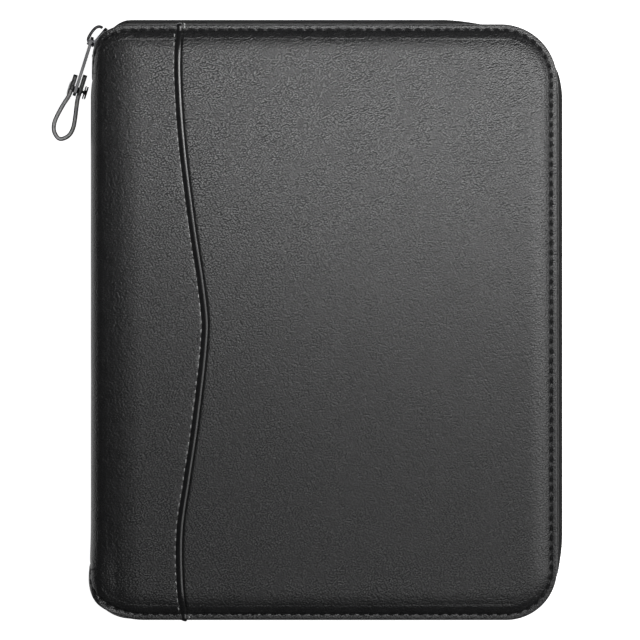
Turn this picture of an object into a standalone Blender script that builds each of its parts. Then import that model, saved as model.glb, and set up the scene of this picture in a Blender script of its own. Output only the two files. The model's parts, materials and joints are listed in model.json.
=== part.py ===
"""Zip-around ring binder planner: closed, lying on its back cover, +Y up the page, +Z out of the front."""
import math

import bmesh
import bpy
from mathutils import Vector

MM = 0.001
FIT = 0.3

# Refill sheets, millimetres
PAGE_W = 148.0
PAGE_H = 210.0
PAGE_MARGIN = 15.0
FORE_EDGE = 9.5

# Layers, from the outside in
SKIN_T = 1.2
FOAM_T = 2.2
BOARD_T = 1.8
LINING_T = 0.9
SPINE_BOARD_T = 2.0
SPINE_LINING_T = 0.8
SPINE_STACK = SKIN_T + FIT + SPINE_BOARD_T + FIT + SPINE_LINING_T + FIT

# How far the ring mechanism stands off the spine
HINGE_PLATE_LIFT = 1.1
RING_OUT = 19.5
PAGE_FROM_RING = 5.0

# Case
COVER_WIDTH = SPINE_STACK + HINGE_PLATE_LIFT + RING_OUT + PAGE_FROM_RING + PAGE_W + FORE_EDGE
COVER_HEIGHT = PAGE_H + 2 * PAGE_MARGIN
DEPTH = 52.0
FORE_CORNER_R = 24.0
SPINE_CORNER_R = 20.0
FOLD_R = 8.0
HALF_W = COVER_WIDTH / 2
HALF_H = COVER_HEIGHT / 2
MID_Z = DEPTH / 2
SPINE_HALF = HALF_H - SPINE_CORNER_R
FORE_HALF = HALF_H - FORE_CORNER_R
X_HINGE = -HALF_W + FOLD_R
Z_BACK_HINGE = FOLD_R
Z_FRONT_HINGE = DEPTH - FOLD_R
X_RIGHT_CORNER = HALF_W - FORE_CORNER_R
X_LEFT_CORNER = X_HINGE + SPINE_CORNER_R - FOLD_R * math.pi / 2

# Cover layers, as heights from the middle plane
PAD_TOP_H = MID_Z - SKIN_T - FIT
PAD_H = PAD_TOP_H - FOAM_T
BOARD_H = PAD_H - FIT - BOARD_T
LINING_H = BOARD_H - FIT - LINING_T
EDGE_T = 1.0
EDGE_INSET = EDGE_T + FIT
PAD_INSET = 8.0
PAD_TOP_INSET = 15.0
PAD_EDGE_T = 1.2
RIM_DROP = 2.4
STITCH_INSET = 2.2
STITCH_DROP = 2.8
SHOULDER_INSET = 5.0
SHOULDER_DROP = 0.8
CROWN_INSET = 11.0
CROWN = ((0.0, MID_Z - RIM_DROP), (STITCH_INSET, MID_Z - STITCH_DROP),
         (SHOULDER_INSET, MID_Z - SHOULDER_DROP), (CROWN_INSET, MID_Z))

# Wave seam across the front: height on the page and distance from the spine's outer face
WAVE = ((120, 37.1), (100, 36.6), (72, 38.4), (40, 42.3), (10, 46.7), (-4, 47.6),
        (-40, 43.8), (-64, 40.3), (-84, 37.5), (-104, 37.5), (-120, 39.1))
BINDING_W = 3.3
BINDING_RISE = 0.5
BINDING_EDGE_RISE = 0.1

# Spine layers, as places along X
SPINE_SKIN_X = -HALF_W
SPINE_BOARD_X = SPINE_SKIN_X + SKIN_T + FIT
SPINE_LINING_X = SPINE_BOARD_X + SPINE_BOARD_T + FIT
STRIP_T = 2.0

# Zip: angles in degrees run round its left corners from +X
ZIP_INSET = 0.8
ZIP_BULGE = 1.0
ZIP_EASE = (6.0, 12.0, 18.0, 26.0)
ZIP_LEFT_R = 15.2
ZIP_LEFT_IN = 8.0
ZIP_LEFT_X = X_HINGE + ZIP_LEFT_IN
ZIP_LEFT_Y = HALF_H - ZIP_INSET - ZIP_LEFT_R
TAPE_T = 0.8
TAPE_LEAN = 0.4
TAPE_MID_BULGE = 0.7
COIL_R = 1.0
COIL_FLAT = 0.5
COIL_GAP = 0.6
COIL_TOP = COIL_GAP + 2 * COIL_R
TAPE_END = 164.0
FRONT_END_TOP = 95.0
FRONT_END_BOTTOM = 150.0
TAIL_GAP = 2.0
TAIL_CLEAR = 0.8
STOP_GAP = 1.2
STOP_TURN = 3.5
STOP_PROUD = 0.2
STOP_H = 3.4

# Slider and pull
SLIDER_AT = 140.0
PLATE_T = 0.9
PLATE_W = 8.4
OUTER_CLEAR = 0.4
INNER_CLEAR = 1.1
OUTER_PLATE_R = ZIP_LEFT_R + COIL_R + OUTER_CLEAR
INNER_PLATE_R = ZIP_LEFT_R - COIL_R - INNER_CLEAR - PLATE_T
PLATE_FRONT = 5.0
PLATE_REAR = 4.6
SLIDER_POST = (2.4, 4.0)
SLIDER_POST_HALF = COIL_GAP - FIT
HOOK_R = 0.55
HOOK = ((3.9, 0.2), (4.0, 1.5), (3.6, 2.6), (2.7, 3.25), (0.6, 3.65), (-1.4, 3.75),
        (-3.0, 3.3), (-3.8, 2.4), (-3.9, 1.4))
TAB_BAR = (1.8, 2.05)
TAB_BAR_END = 0.4
TAB_ANGLE = 252.5
TAB_T = 0.7
TAB_W = 5.0
TAB_LENGTH = 22.0
TAB_TIP = 2.6
TAB_CHAMFER = 1.6
WINDOW_END = 4.1
WINDOW_CLEAR = 0.45
STRAP_T = 1.45
STRAP_W = 8.0
STRAP = ((-5.8, 1.85), (0.0, 1.85), (3.2, 1.9), (7.0, 2.7),
         (11.0, 3.5), (15.0, 3.9), (18.2, 3.2), (20.2, 1.6))
STRAP_END = 20.9
RIVET_R = 1.3
RIVET_HEAD_R = 2.9
RIVET_HEAD_T = 0.7
RIVET_STAND_OFF = 1.0

# Ring mechanism
CASING_X = SPINE_LINING_X + SPINE_LINING_T + FIT
HINGE_PLATE_X = CASING_X + HINGE_PLATE_LIFT
HINGE_PLATE_T = 0.8
HINGE_PLATE_DZ = 9.7
HINGE_SPLIT = 0.2
HINGE_NOTCH_CLEAR = 1.0
RING_PIVOT_DZ = 9.5
RING_X = HINGE_PLATE_X + RING_OUT
RING_R = 14.0
WIRE_R = 1.3
WIRE_CLEAR = 0.8
RING_MIDDLE = 70.0
RING_PITCH = 19.0
RING_YS = tuple(sorted(s * (RING_MIDDLE / 2 + k * RING_PITCH) for k in range(3) for s in (-1, 1)))
RING_ARC = 115.0
FOOT_DZ = 8.0
FOOT_CLEAR = 0.8
CASING_HALF_W = 11.0
CASING_H = 5.2
CASING_T = 0.8
CASING_SIDE = 2.1
CASING_CURVE = 4.1
CASING_SHOULDER = 2.0
CASING_SLANT_T = 0.5
CASING_TOP_HALF = 5.0
CASING_END = 12.0
CASING_HALF_L = RING_YS[-1] + CASING_END
NOTCH_FROM = 5.6
NOTCH_LIFT = 1.0
RIVET_Y = RING_YS[-1] - RING_PITCH / 2
POST_R = 1.6
POST_HEAD_R = 3.0
POST_HEAD_T = 0.9
TRIGGER_IN = 3.0
TRIGGER_Y = CASING_HALF_L - TRIGGER_IN
TRIGGER_LIFT = 1.0
TRIGGER_X = HINGE_PLATE_X + TRIGGER_LIFT
TRIGGER_R = 1.1
TRIGGER_REACH = 13.0
TRIGGER_RISE = 7.0
TRIGGER_ARM_W = 4.5
TRIGGER_TAPER = 0.12
TRIGGER_GAP = 1.9
TRIGGER_LOWER = ((-TRIGGER_R, -TRIGGER_R), (-TRIGGER_R, 0.6), (-0.4, 3.4))
TRIGGER_TIP = ((TRIGGER_RISE - 0.6, TRIGGER_REACH), (TRIGGER_RISE + 0.6, TRIGGER_REACH - 0.8))
TRIGGER_UPPER = ((1.1, 2.8), (TRIGGER_R, 0.0), (0.2, -TRIGGER_R))
TRIGGER_BARREL = 1.0
HINGE_PLATE_HALF_L = TRIGGER_Y - TRIGGER_R - TRIGGER_GAP

# Inside
POCKET_T = 0.7
POCKET_LEFT = 48.0
POCKET_RIGHT = 5.0
POCKET_LOW = 6.0
POCKET_CORNER = 16.0
POCKET_SLOPE = 40.0
POCKET_CARD_GAP = 14.0
BACK_POCKET_DROP = 58.0
CARD_LEFT = 56.0
CARD_W = 96.0
CARD_H = 56.0
CARD_STEP = 14.0
CARD_DROP = 86.0
CARD_Y = HALF_H - CARD_DROP
PEN_R = 5.0
PEN_WALL = 0.9
PEN_EDGE = 10.0
PEN_HALF_L = 24.0
PEN_DROP = 68.0
PEN_PAGE_CLEAR = 0.85

# Page blocks fill the room under the pen loop
PAGE_X = RING_X + PAGE_FROM_RING
PAGE_T = LINING_H - FIT - 2 * PEN_R - PEN_PAGE_CLEAR - FIT / 2
SLOT_BEFORE = 2.2
SLOT_AFTER = 5.0
SLOT_FROM = math.sqrt(RING_R ** 2 - (PAGE_T + FIT / 2) ** 2) - SLOT_BEFORE
SLOT_TO = RING_R + SLOT_AFTER
SLOT_W = 5.8

# Mesh steps
ARC_STEP = 15.0
ROW_SHARES = (0.88, 0.76, 0.64, 0.52, 0.40, 0.28, 0.16, 0.05)

pivots = {}


def material(name, colour, roughness, metallic=0.0):
    mat = bpy.data.materials.new(name)
    mat.use_nodes = True
    shader = mat.node_tree.nodes["Principled BSDF"]
    shader.inputs["Base Color"].default_value = (*colour, 1.0)
    shader.inputs["Roughness"].default_value = roughness
    shader.inputs["Metallic"].default_value = metallic
    return mat


def add_pivot(name, at, parent=None):
    empty = bpy.data.objects.new(name + "_pivot", None)
    bpy.context.collection.objects.link(empty)
    at = Vector(at)
    base = pivots[parent][1] if parent else Vector()
    empty.parent = pivots[parent][0] if parent else None
    empty.location = (at - base) * MM
    pivots[name] = (empty, at)


def add_solid(name, verts, faces, mat, pivot):
    empty, at = pivots[pivot]
    mesh = bpy.data.meshes.new(name)
    mesh.from_pydata([(Vector(v) - at) * MM for v in verts], [], faces)
    shell = bmesh.new()
    shell.from_mesh(mesh)
    bmesh.ops.recalc_face_normals(shell, faces=shell.faces)
    shell.to_mesh(mesh)
    shell.free()
    mesh.materials.append(mat)
    obj = bpy.data.objects.new(name, mesh)
    bpy.context.collection.objects.link(obj)
    obj.parent = empty
    return obj


def loft_faces(rings, first=0):
    n = len(rings[0])
    faces = []
    for i in range(len(rings) - 1):
        for k in range(n):
            m = (k + 1) % n
            a = first + i * n
            faces.append((a + k, a + m, a + n + m, a + n + k))
    faces.append(tuple(first + k for k in range(n)))
    faces.append(tuple(first + (len(rings) - 1) * n + k for k in range(n)))
    return faces


def loft(name, rings, mat, pivot):
    return add_solid(name, [p for ring in rings for p in ring], loft_faces(rings), mat, pivot)


def grid_solid(name, tops, bottoms, mat, pivot):
    rows, cols = len(tops), len(tops[0])
    verts = [p for row in tops for p in row] + [p for row in bottoms for p in row]
    low = rows * cols
    faces = []
    for r in range(rows - 1):
        for c in range(cols - 1):
            a = r * cols + c
            quad = (a, a + 1, a + cols + 1, a + cols)
            faces.append(quad)
            faces.append(tuple(low + v for v in reversed(quad)))
    rim = list(range(cols)) + [r * cols + cols - 1 for r in range(1, rows)]
    rim += [(rows - 1) * cols + c for c in range(cols - 2, -1, -1)]
    rim += [r * cols for r in range(rows - 2, 0, -1)]
    for a, b in zip(rim, rim[1:] + rim[:1]):
        faces.append((b, a, low + a, low + b))
    return add_solid(name, verts, faces, mat, pivot)


def box(name, xs, ys, zs, mat, pivot):
    ring = [(xs[0], ys[0]), (xs[1], ys[0]), (xs[1], ys[1]), (xs[0], ys[1])]
    return plate(name, ring, zs, mat, pivot)


def plate(name, outline, zs, mat, pivot):
    return loft(name, [[(x, y, z) for x, y in outline] for z in zs], mat, pivot)


def cylinder_rings(start, end, radius, sides=16):
    axis = (Vector(end) - Vector(start)).normalized()
    side = axis.orthogonal().normalized()
    other = axis.cross(side)
    turns = [2 * math.pi * k / sides for k in range(sides)]
    spokes = [side * math.cos(t) + other * math.sin(t) for t in turns]
    return [[Vector(end_point) + s * radius for s in spokes] for end_point in (start, end)]


def stepped_cylinder(name, axis_points, radii, mat, pivot):
    rings = []
    for (a, b), radius in zip(axis_points, radii):
        rings += cylinder_rings(a, b, radius)
    return loft(name, rings, mat, pivot)


def cut(target, name, pieces, pivot):
    verts, faces = [], []
    for rings in pieces:
        faces += loft_faces(rings, len(verts))
        verts += [p for ring in rings for p in ring]
    cutter = add_solid(name, verts, faces, target.data.materials[0], pivot)
    cutter.hide_render = True
    cutter.display_type = "WIRE"
    mod = target.modifiers.new(name, "BOOLEAN")
    mod.operation = "DIFFERENCE"
    mod.solver = "EXACT"
    mod.object = cutter


def box_rings(xs, ys, zs):
    ring = [(xs[0], ys[0]), (xs[1], ys[0]), (xs[1], ys[1]), (xs[0], ys[1])]
    return [[(x, y, z) for x, y in ring] for z in zs]


def smooth(t):
    t = min(1.0, max(0.0, t))
    return t * t * (3 - 2 * t)


def through(points, s):
    """Value at s on a smooth curve through points sorted by their first number."""
    pts = sorted(points)
    i = max(k for k in range(len(pts) - 1) if k == 0 or pts[k][0] <= s)
    (a, pa), (b, pb) = pts[i], pts[i + 1]
    before = pts[max(i - 1, 0)]
    after = pts[min(i + 2, len(pts) - 1)]
    slope_a = (pb - before[1]) / (b - before[0])
    slope_b = (after[1] - pa) / (after[0] - a)
    t = (s - a) / (b - a)
    span = b - a
    return (pa * (1 + 2 * t) * (1 - t) ** 2 + slope_a * span * t * (1 - t) ** 2
            + pb * t * t * (3 - 2 * t) + slope_b * span * t * t * (t - 1))


def wave_x(y):
    return -HALF_W + through(WAVE, y * WAVE[0][0] / HALF_H)


def corner_run(y, start, radius):
    """How far a rounded corner that starts at the height start reaches out at the height y."""
    rise = max(0.0, abs(y) - start)
    return math.sqrt(max(0.0, radius ** 2 - rise * rise))


def right_edge(y):
    return X_RIGHT_CORNER + corner_run(y, FORE_HALF, FORE_CORNER_R)


def left_edge(y):
    return max(X_HINGE + FIT, X_LEFT_CORNER - corner_run(y, SPINE_HALF, SPINE_CORNER_R))


def edge_distance(x, y):
    up = abs(y)
    if up > FORE_HALF and x > X_RIGHT_CORNER:
        return FORE_CORNER_R - math.hypot(x - X_RIGHT_CORNER, up - FORE_HALF)
    if up > SPINE_HALF and x < X_LEFT_CORNER:
        return SPINE_CORNER_R - math.hypot(x - X_LEFT_CORNER, up - SPINE_HALF)
    return min(HALF_W - x, HALF_H - up)


def crown(x, y):
    d = max(0.0, edge_distance(x, y))
    for (d0, h0), (d1, h1) in zip(CROWN, CROWN[1:]):
        if d <= d1:
            return h0 + (h1 - h0) * (d - d0) / (d1 - d0)
    return MID_Z


def crown_rows():
    ups = [HALF_H - d for d, _ in CROWN]
    ups += [FORE_HALF + FORE_CORNER_R * math.sin(math.radians(a)) for a in (0, 18, 36, 54, 72)]
    ups += [FORE_HALF * share for share in ROW_SHARES]
    return sorted(ups + [-u for u in ups])


def skin(name, rows, side, mat, pivot, rise=None):
    tops, bottoms = [], []
    for row in rows:
        top = [crown(x, y) + (rise[c] if rise else 0.0) for c, (x, y) in enumerate(row)]
        low = [max(PAD_H, crown(x, y) - SKIN_T) for x, y in row]
        tops.append([(x, y, MID_Z + side * h) for (x, y), h in zip(row, top)])
        bottoms.append([(x, y, MID_Z + side * h) for (x, y), h in zip(row, low)])
    return grid_solid(name, tops, bottoms, mat, pivot)


def right_columns(left, y):
    edge = right_edge(y)
    inner = edge - CROWN_INSET
    xs = [left, left + (inner - left) / 2] + [edge - d for d, _ in reversed(CROWN)]
    return [(x, y) for x in xs]


def make_outer_skins(leather):
    ys = crown_rows()
    skin("back_skin", [right_columns(left_edge(y), y) for y in ys], -1, leather, "back_cover")
    front_rows = [right_columns(wave_x(y) + FIT / 2, y) for y in ys]
    skin("front_skin", front_rows, 1, leather, "front_cover")
    side_rows, bind_rows = [], []
    for y in ys:
        edge = wave_x(y)
        side_right = edge - BINDING_W - FIT / 2
        left = left_edge(y)
        side_rows.append([(left, y), ((left + side_right) / 2, y), (side_right, y)])
        inner = BINDING_W - FIT
        bind_rows.append([(edge - FIT / 2 - inner * t, y) for t in (1.0, 0.7, 0.3, 0.0)])
    skin("spine_side_skin", side_rows, 1, leather, "front_cover")
    skin("wave_binding", bind_rows, 1, leather, "front_cover",
         (BINDING_EDGE_RISE, BINDING_RISE, BINDING_RISE, BINDING_EDGE_RISE))


def flat_outline(inset):
    pts = []
    for cx, sy, a0 in ((X_RIGHT_CORNER, -1, 270), (X_RIGHT_CORNER, 1, 0)):
        for k in range(6):
            a = math.radians(a0 + 18 * k)
            r = FORE_CORNER_R - inset
            pts.append((cx + r * math.cos(a), sy * FORE_HALF + r * math.sin(a)))
    top = HALF_H - inset
    left = X_HINGE + FIT
    pts += [(X_LEFT_CORNER, top), (left, SPINE_HALF + corner_run_at(left, inset))]
    pts += [(left, -SPINE_HALF - corner_run_at(left, inset)), (X_LEFT_CORNER, -top)]
    return pts


def corner_run_at(x, inset):
    return math.sqrt(max(0.0, (SPINE_CORNER_R - inset) ** 2 - (X_LEFT_CORNER - x) ** 2))


def make_cover_layers(side, prefix, pivot, board, cloth, foam):
    def level(h):
        return MID_Z + side * h

    flat = flat_outline(EDGE_INSET)
    plate(prefix + "_lining", flat, (level(LINING_H), level(LINING_H + LINING_T)), cloth, pivot)
    plate(prefix + "_board", flat, (level(BOARD_H), level(BOARD_H + BOARD_T)), board, pivot)
    rings = []
    pad = ((PAD_INSET, PAD_H), (PAD_INSET, PAD_H + PAD_EDGE_T), (PAD_TOP_INSET, PAD_TOP_H))
    for inset, h in pad:
        rings.append([(x, y, level(h)) for x, y in flat_outline(inset)])
    loft(prefix + "_foam_pad", rings, foam, pivot)


def make_edge_binding(side, prefix, pivot, leather):
    start = math.degrees(math.acos((X_LEFT_CORNER - X_HINGE - FIT) / SPINE_CORNER_R))
    path = arc(X_LEFT_CORNER, -SPINE_HALF, SPINE_CORNER_R, 180 + start, 270, 3)
    path += arc(X_RIGHT_CORNER, -FORE_HALF, FORE_CORNER_R, 270, 360, 6)
    path += arc(X_RIGHT_CORNER, FORE_HALF, FORE_CORNER_R, 0, 90, 6)
    path += arc(X_LEFT_CORNER, SPINE_HALF, SPINE_CORNER_R, 90, 180 - start, 3)
    low, high = LINING_H, PAD_H - FIT
    section = ((0, low), (0, high), (-EDGE_T, high), (-EDGE_T, low))
    rings = [[(x + nx * o, y + ny * o, MID_Z + side * h) for o, h in section] for x, y, nx, ny in path]
    loft(prefix + "_edge_binding", rings, leather, pivot)


def arc(cx, cy, r, a0, a1, steps):
    pts = []
    for k in range(steps + 1):
        a = math.radians(a0 + (a1 - a0) * k / steps)
        pts.append((cx + r * math.cos(a), cy + r * math.sin(a), math.cos(a), math.sin(a)))
    return pts


def make_spine(leather, board, cloth):
    gap_angle = math.degrees(FIT / FOLD_R)
    for side, prefix, z_axis in ((1, "front", Z_FRONT_HINGE), (-1, "back", Z_BACK_HINGE)):
        tops, bottoms = [], []
        for k in range(7):
            a = gap_angle + (90 - 2 * gap_angle) * k / 6
            turn = math.radians(90 + a)
            run = X_LEFT_CORNER - X_HINGE + FOLD_R * math.radians(a)
            reach = SPINE_HALF + math.sqrt(max(0.0, SPINE_CORNER_R ** 2 - run ** 2))
            for r, rows in ((FOLD_R, tops), (FOLD_R - STRIP_T, bottoms)):
                x = X_HINGE + r * math.cos(turn)
                z = z_axis + side * r * math.sin(turn)
                rows.append([(x, -reach, z), (x, 0.0, z), (x, reach, z)])
        grid_solid(prefix + "_hinge_strip", tops, bottoms, leather, "spine")
    zs = (Z_BACK_HINGE + FIT, Z_FRONT_HINGE - FIT)
    ys = (-SPINE_HALF, SPINE_HALF)
    box("spine_skin", (SPINE_SKIN_X, SPINE_SKIN_X + SKIN_T), ys, zs, leather, "spine")
    plates = (("spine_board", SPINE_BOARD_X, SPINE_BOARD_T, board),
              ("spine_lining", SPINE_LINING_X, SPINE_LINING_T, cloth))
    for name, x, thick, mat in plates:
        target = box(name, (x, x + thick), ys, zs, mat, "spine")
        holes = [cylinder_rings((x - 1, y, MID_Z), (x + thick + 1, y, MID_Z), POST_R + FIT)
                 for y in (-RIVET_Y, RIVET_Y)]
        cut(target, name + "_holes", holes, "spine")


def zip_arc(cx, cy, r, a0, a1):
    steps = math.ceil(abs(a1 - a0) / ARC_STEP)
    return [(*p, 0.0) for p in arc(cx, cy, r, a0, a1, steps)]


def zip_path(end_bottom, end_top):
    right = HALF_W - ZIP_INSET
    top = HALF_H - ZIP_INSET
    corner = FORE_CORNER_R - ZIP_INSET
    pts = zip_arc(ZIP_LEFT_X, -ZIP_LEFT_Y, ZIP_LEFT_R, 360 - end_bottom, 270)
    pts += straight((ZIP_LEFT_X, -top), (X_RIGHT_CORNER, -top), (0, -1))
    pts += zip_arc(X_RIGHT_CORNER, -FORE_HALF, corner, 270, 360)
    pts += straight((right, -FORE_HALF), (right, FORE_HALF), (1, 0))
    pts += zip_arc(X_RIGHT_CORNER, FORE_HALF, corner, 0, 90)
    pts += straight((X_RIGHT_CORNER, top), (ZIP_LEFT_X, top), (0, 1))
    return pts + zip_arc(ZIP_LEFT_X, ZIP_LEFT_Y, ZIP_LEFT_R, 90, end_top)


def straight(a, b, normal):
    length = math.dist(a, b)
    run = list(ZIP_EASE) + [length / 2] + [length - d for d in reversed(ZIP_EASE)]
    pts = []
    for away in run:
        t = away / length
        swell = ZIP_BULGE * smooth(min(away, length - away) / ZIP_EASE[-1])
        pts.append((a[0] + (b[0] - a[0]) * t, a[1] + (b[1] - a[1]) * t, *normal, swell))
    return pts


def swept(name, path, section, mat, pivot):
    """Sweep a section of (offset, share of the bulge, height) round a path."""
    rings = []
    for x, y, nx, ny, swell in path:
        rings.append([(x + nx * (o + swell * s), y + ny * (o + swell * s), z) for o, s, z in section])
    return loft(name, rings, mat, pivot)


def tape_section(side):
    half = TAPE_T / 2
    low, high = COIL_TOP + FIT, LINING_H - FIT
    outer = ((half, 1.0, low), (half, TAPE_MID_BULGE, (low + high) / 2), (half - TAPE_LEAN, 0.0, high))
    section = outer + tuple((o - TAPE_T, s, h) for o, s, h in reversed(outer))
    return [(o, s, MID_Z + side * h) for o, s, h in section]


def coil_section(side):
    mid = COIL_GAP + COIL_R
    quarter = ((COIL_R, COIL_FLAT), (COIL_FLAT, COIL_R))
    ring = quarter + tuple((-o, h) for o, h in reversed(quarter))
    ring += tuple((-o, -h) for o, h in ring)
    return [(o, 1.0, MID_Z + side * (mid + h)) for o, h in ring]


def make_zip(side, prefix, ends, pivot, tape, coil):
    path = zip_path(*ends)
    swept(prefix + "_zip_tape", path, tape_section(side), tape, pivot)
    swept(prefix + "_zip_coil", path, coil_section(side), coil, pivot)


def make_zip_ends(tape, coil, metal):
    half = TAPE_T / 2
    tail = [(*p, 0.0) for p in arc(ZIP_LEFT_X, ZIP_LEFT_Y, ZIP_LEFT_R, FRONT_END_TOP + TAIL_GAP, TAPE_END, 8)]
    swept("back_gusset_tail", tail, tape_section(-1), tape, "spine")
    swept("back_coil_end", tail, coil_section(-1), coil, "spine")
    high = MID_Z + LINING_H - FIT
    low = MID_Z + PLATE_W / 2 + TAIL_CLEAR
    section = [(half, 0, low), (half - TAPE_LEAN, 0, high), (-half - TAPE_LEAN, 0, high), (-half, 0, low)]
    swept("front_gusset_tail", tail, section, tape, "front_cover")
    wide = COIL_R + STOP_PROUD
    top = MID_Z - COIL_GAP
    section = [(wide, 0, top - STOP_H), (wide, 0, top), (-wide, 0, top), (-wide, 0, top - STOP_H)]
    for name, sy, pivot in (("zip_top_stop", 1, "spine"), ("zip_bottom_stop", -1, "back_cover")):
        angle = sy * (TAPE_END + STOP_GAP)
        path = arc(ZIP_LEFT_X, sy * ZIP_LEFT_Y, ZIP_LEFT_R, angle, angle + sy * STOP_TURN, 1)
        swept(name, [(*p, 0.0) for p in path], section, metal, pivot)


def slider_point(t, n, z=MID_Z):
    """A point on the slider: t back along the zip, n out from the outer plate's middle."""
    a = math.radians(SLIDER_AT)
    r = OUTER_PLATE_R + PLATE_T / 2 + n
    x = ZIP_LEFT_X + r * math.cos(a) - t * math.sin(a)
    y = ZIP_LEFT_Y + r * math.sin(a) + t * math.cos(a)
    return Vector((x, y, z))


def make_slider(metal):
    half = PLATE_T / 2
    inner = INNER_PLATE_R - OUTER_PLATE_R - half
    post = SLIDER_POST
    wide = PLATE_W / 2
    zs = [MID_Z + h for h in (-wide, -SLIDER_POST_HALF, SLIDER_POST_HALF, wide)]
    profile = ((-PLATE_FRONT, half), (PLATE_REAR, half), (PLATE_REAR, -half), (post[1], -half),
               (post[1], inner + PLATE_T), (PLATE_REAR, inner + PLATE_T), (PLATE_REAR, inner),
               (-PLATE_FRONT, inner), (-PLATE_FRONT, inner + PLATE_T), (post[0], inner + PLATE_T),
               (post[0], -half), (-PLATE_FRONT, -half))
    n = len(profile)
    verts = [slider_point(t, h, z) for z in zs for t, h in profile]
    faces = []
    for level in range(3):
        a = level * n
        for k in range(n):
            m = (k + 1) % n
            if level != 1 and (k, m) in ((3, 4), (9, 10)):
                continue
            faces.append((a + k, a + m, a + n + m, a + n + k))
    outer_plate, inner_plate = (0, 1, 2, 3, 10, 11), (4, 5, 6, 7, 8, 9)
    for ring in (outer_plate, inner_plate):
        faces.append(tuple(ring))
        faces.append(tuple(3 * n + v for v in ring))
    for level, far in ((1, 0), (2, 3)):
        faces.append((level * n + 3, level * n + 4, level * n + 9, level * n + 10))
        faces.append((level * n + 3, level * n + 10, far * n + 10, far * n + 3))
        faces.append((level * n + 4, level * n + 9, far * n + 9, far * n + 4))
    body = add_solid("zip_slider", verts, faces, metal, "zip_slider")
    path = [slider_point(t, h) for t, h in HOOK]
    rings = tube_rings(path, HOOK_R, 8, Vector((0, 0, 1)))
    hook = loft("zip_slider_hook", rings, metal, "zip_slider")
    hook.hide_render = True
    hook.display_type = "WIRE"
    mod = body.modifiers.new("hook", "BOOLEAN")
    mod.operation = "UNION"
    mod.solver = "EXACT"
    mod.object = hook


def tube_rings(path, radius, sides, across):
    rings = []
    for i, p in enumerate(path):
        along = (path[min(i + 1, len(path) - 1)] - path[max(i - 1, 0)]).normalized()
        out = across.cross(along).normalized()
        turns = [2 * math.pi * k / sides for k in range(sides)]
        rings.append([p + out * (radius * math.cos(t)) + across * (radius * math.sin(t)) for t in turns])
    return rings


def pull_frame():
    a = math.radians(TAB_ANGLE)
    down = Vector((math.cos(a), math.sin(a), 0))
    across = Vector((-math.sin(a), math.cos(a), 0))
    bar = slider_point(*TAB_BAR)
    return bar, bar + down * TAB_LENGTH, down, across


def make_pull_tab(metal):
    bar, _, down, across = pull_frame()
    half = TAB_W / 2
    window = (TAB_BAR_END, WINDOW_END)
    end = TAB_LENGTH + TAB_TIP
    c = TAB_CHAMFER
    arm = HOOK_R + WINDOW_CLEAR
    outline = ((-TAB_BAR_END, -half), (end - c, -half), (end, -half + c), (end, half - c),
               (end - c, half), (-TAB_BAR_END, half))
    rings = []
    for w in (-TAB_T / 2, TAB_T / 2):
        rings.append([bar + down * s + across * w + Vector((0, 0, h)) for s, h in outline])
    tab = loft("pull_tab", rings, metal, "pull_tab")
    hole_at = bar + down * TAB_LENGTH
    slot = [[bar + down * s + across * w + Vector((0, 0, h)) for s, h in
             ((window[0], -arm), (window[1], -arm), (window[1], arm), (window[0], arm))] for w in (-1, 1)]
    hole = cylinder_rings(hole_at - across, hole_at + across, RIVET_R + FIT)
    cut(tab, "pull_tab_openings", [slot, hole], "pull_tab")


def make_pull_strap(leather, metal):
    _, rivet, down, across = pull_frame()
    centre = [*STRAP, (STRAP_END, 0.0)] + [(s, -w) for s, w in reversed(STRAP)]
    line = [rivet + down * s + across * w for s, w in centre]
    half = STRAP_T / 2
    wide = STRAP_W / 2
    section = ((half, -wide), (half, wide), (-half, wide), (-half, -wide))
    rings = []
    for i, p in enumerate(line):
        along = (line[min(i + 1, len(line) - 1)] - line[max(i - 1, 0)]).normalized()
        out = Vector((0, 0, 1)).cross(along)
        rings.append([p + out * o + Vector((0, 0, h)) for o, h in section])
    strap = loft("pull_strap", rings, leather, "pull_strap")
    reach = STRAP[1][1] + half
    through_both = across * (2 * reach)
    bore = cylinder_rings(rivet - through_both, rivet + through_both, RIVET_R + FIT)
    cut(strap, "pull_strap_bore", [bore], "pull_strap")
    head = reach + FIT
    stem = head + RIVET_STAND_OFF
    runs = [(-head - RIVET_HEAD_T, -head), (-head, reach - FIT)]
    post = [(rivet + across * a, rivet + across * b) for a, b in runs]
    stepped_cylinder("rivet_post", post, (RIVET_HEAD_R, RIVET_R), metal, "pull_strap")
    runs = [(reach, stem), (stem, stem + RIVET_HEAD_T)]
    cap = [(rivet + across * a, rivet + across * b) for a, b in runs]
    stepped_cylinder("rivet_cap", cap, (RIVET_R, RIVET_HEAD_R), metal, "pull_strap")


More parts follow.
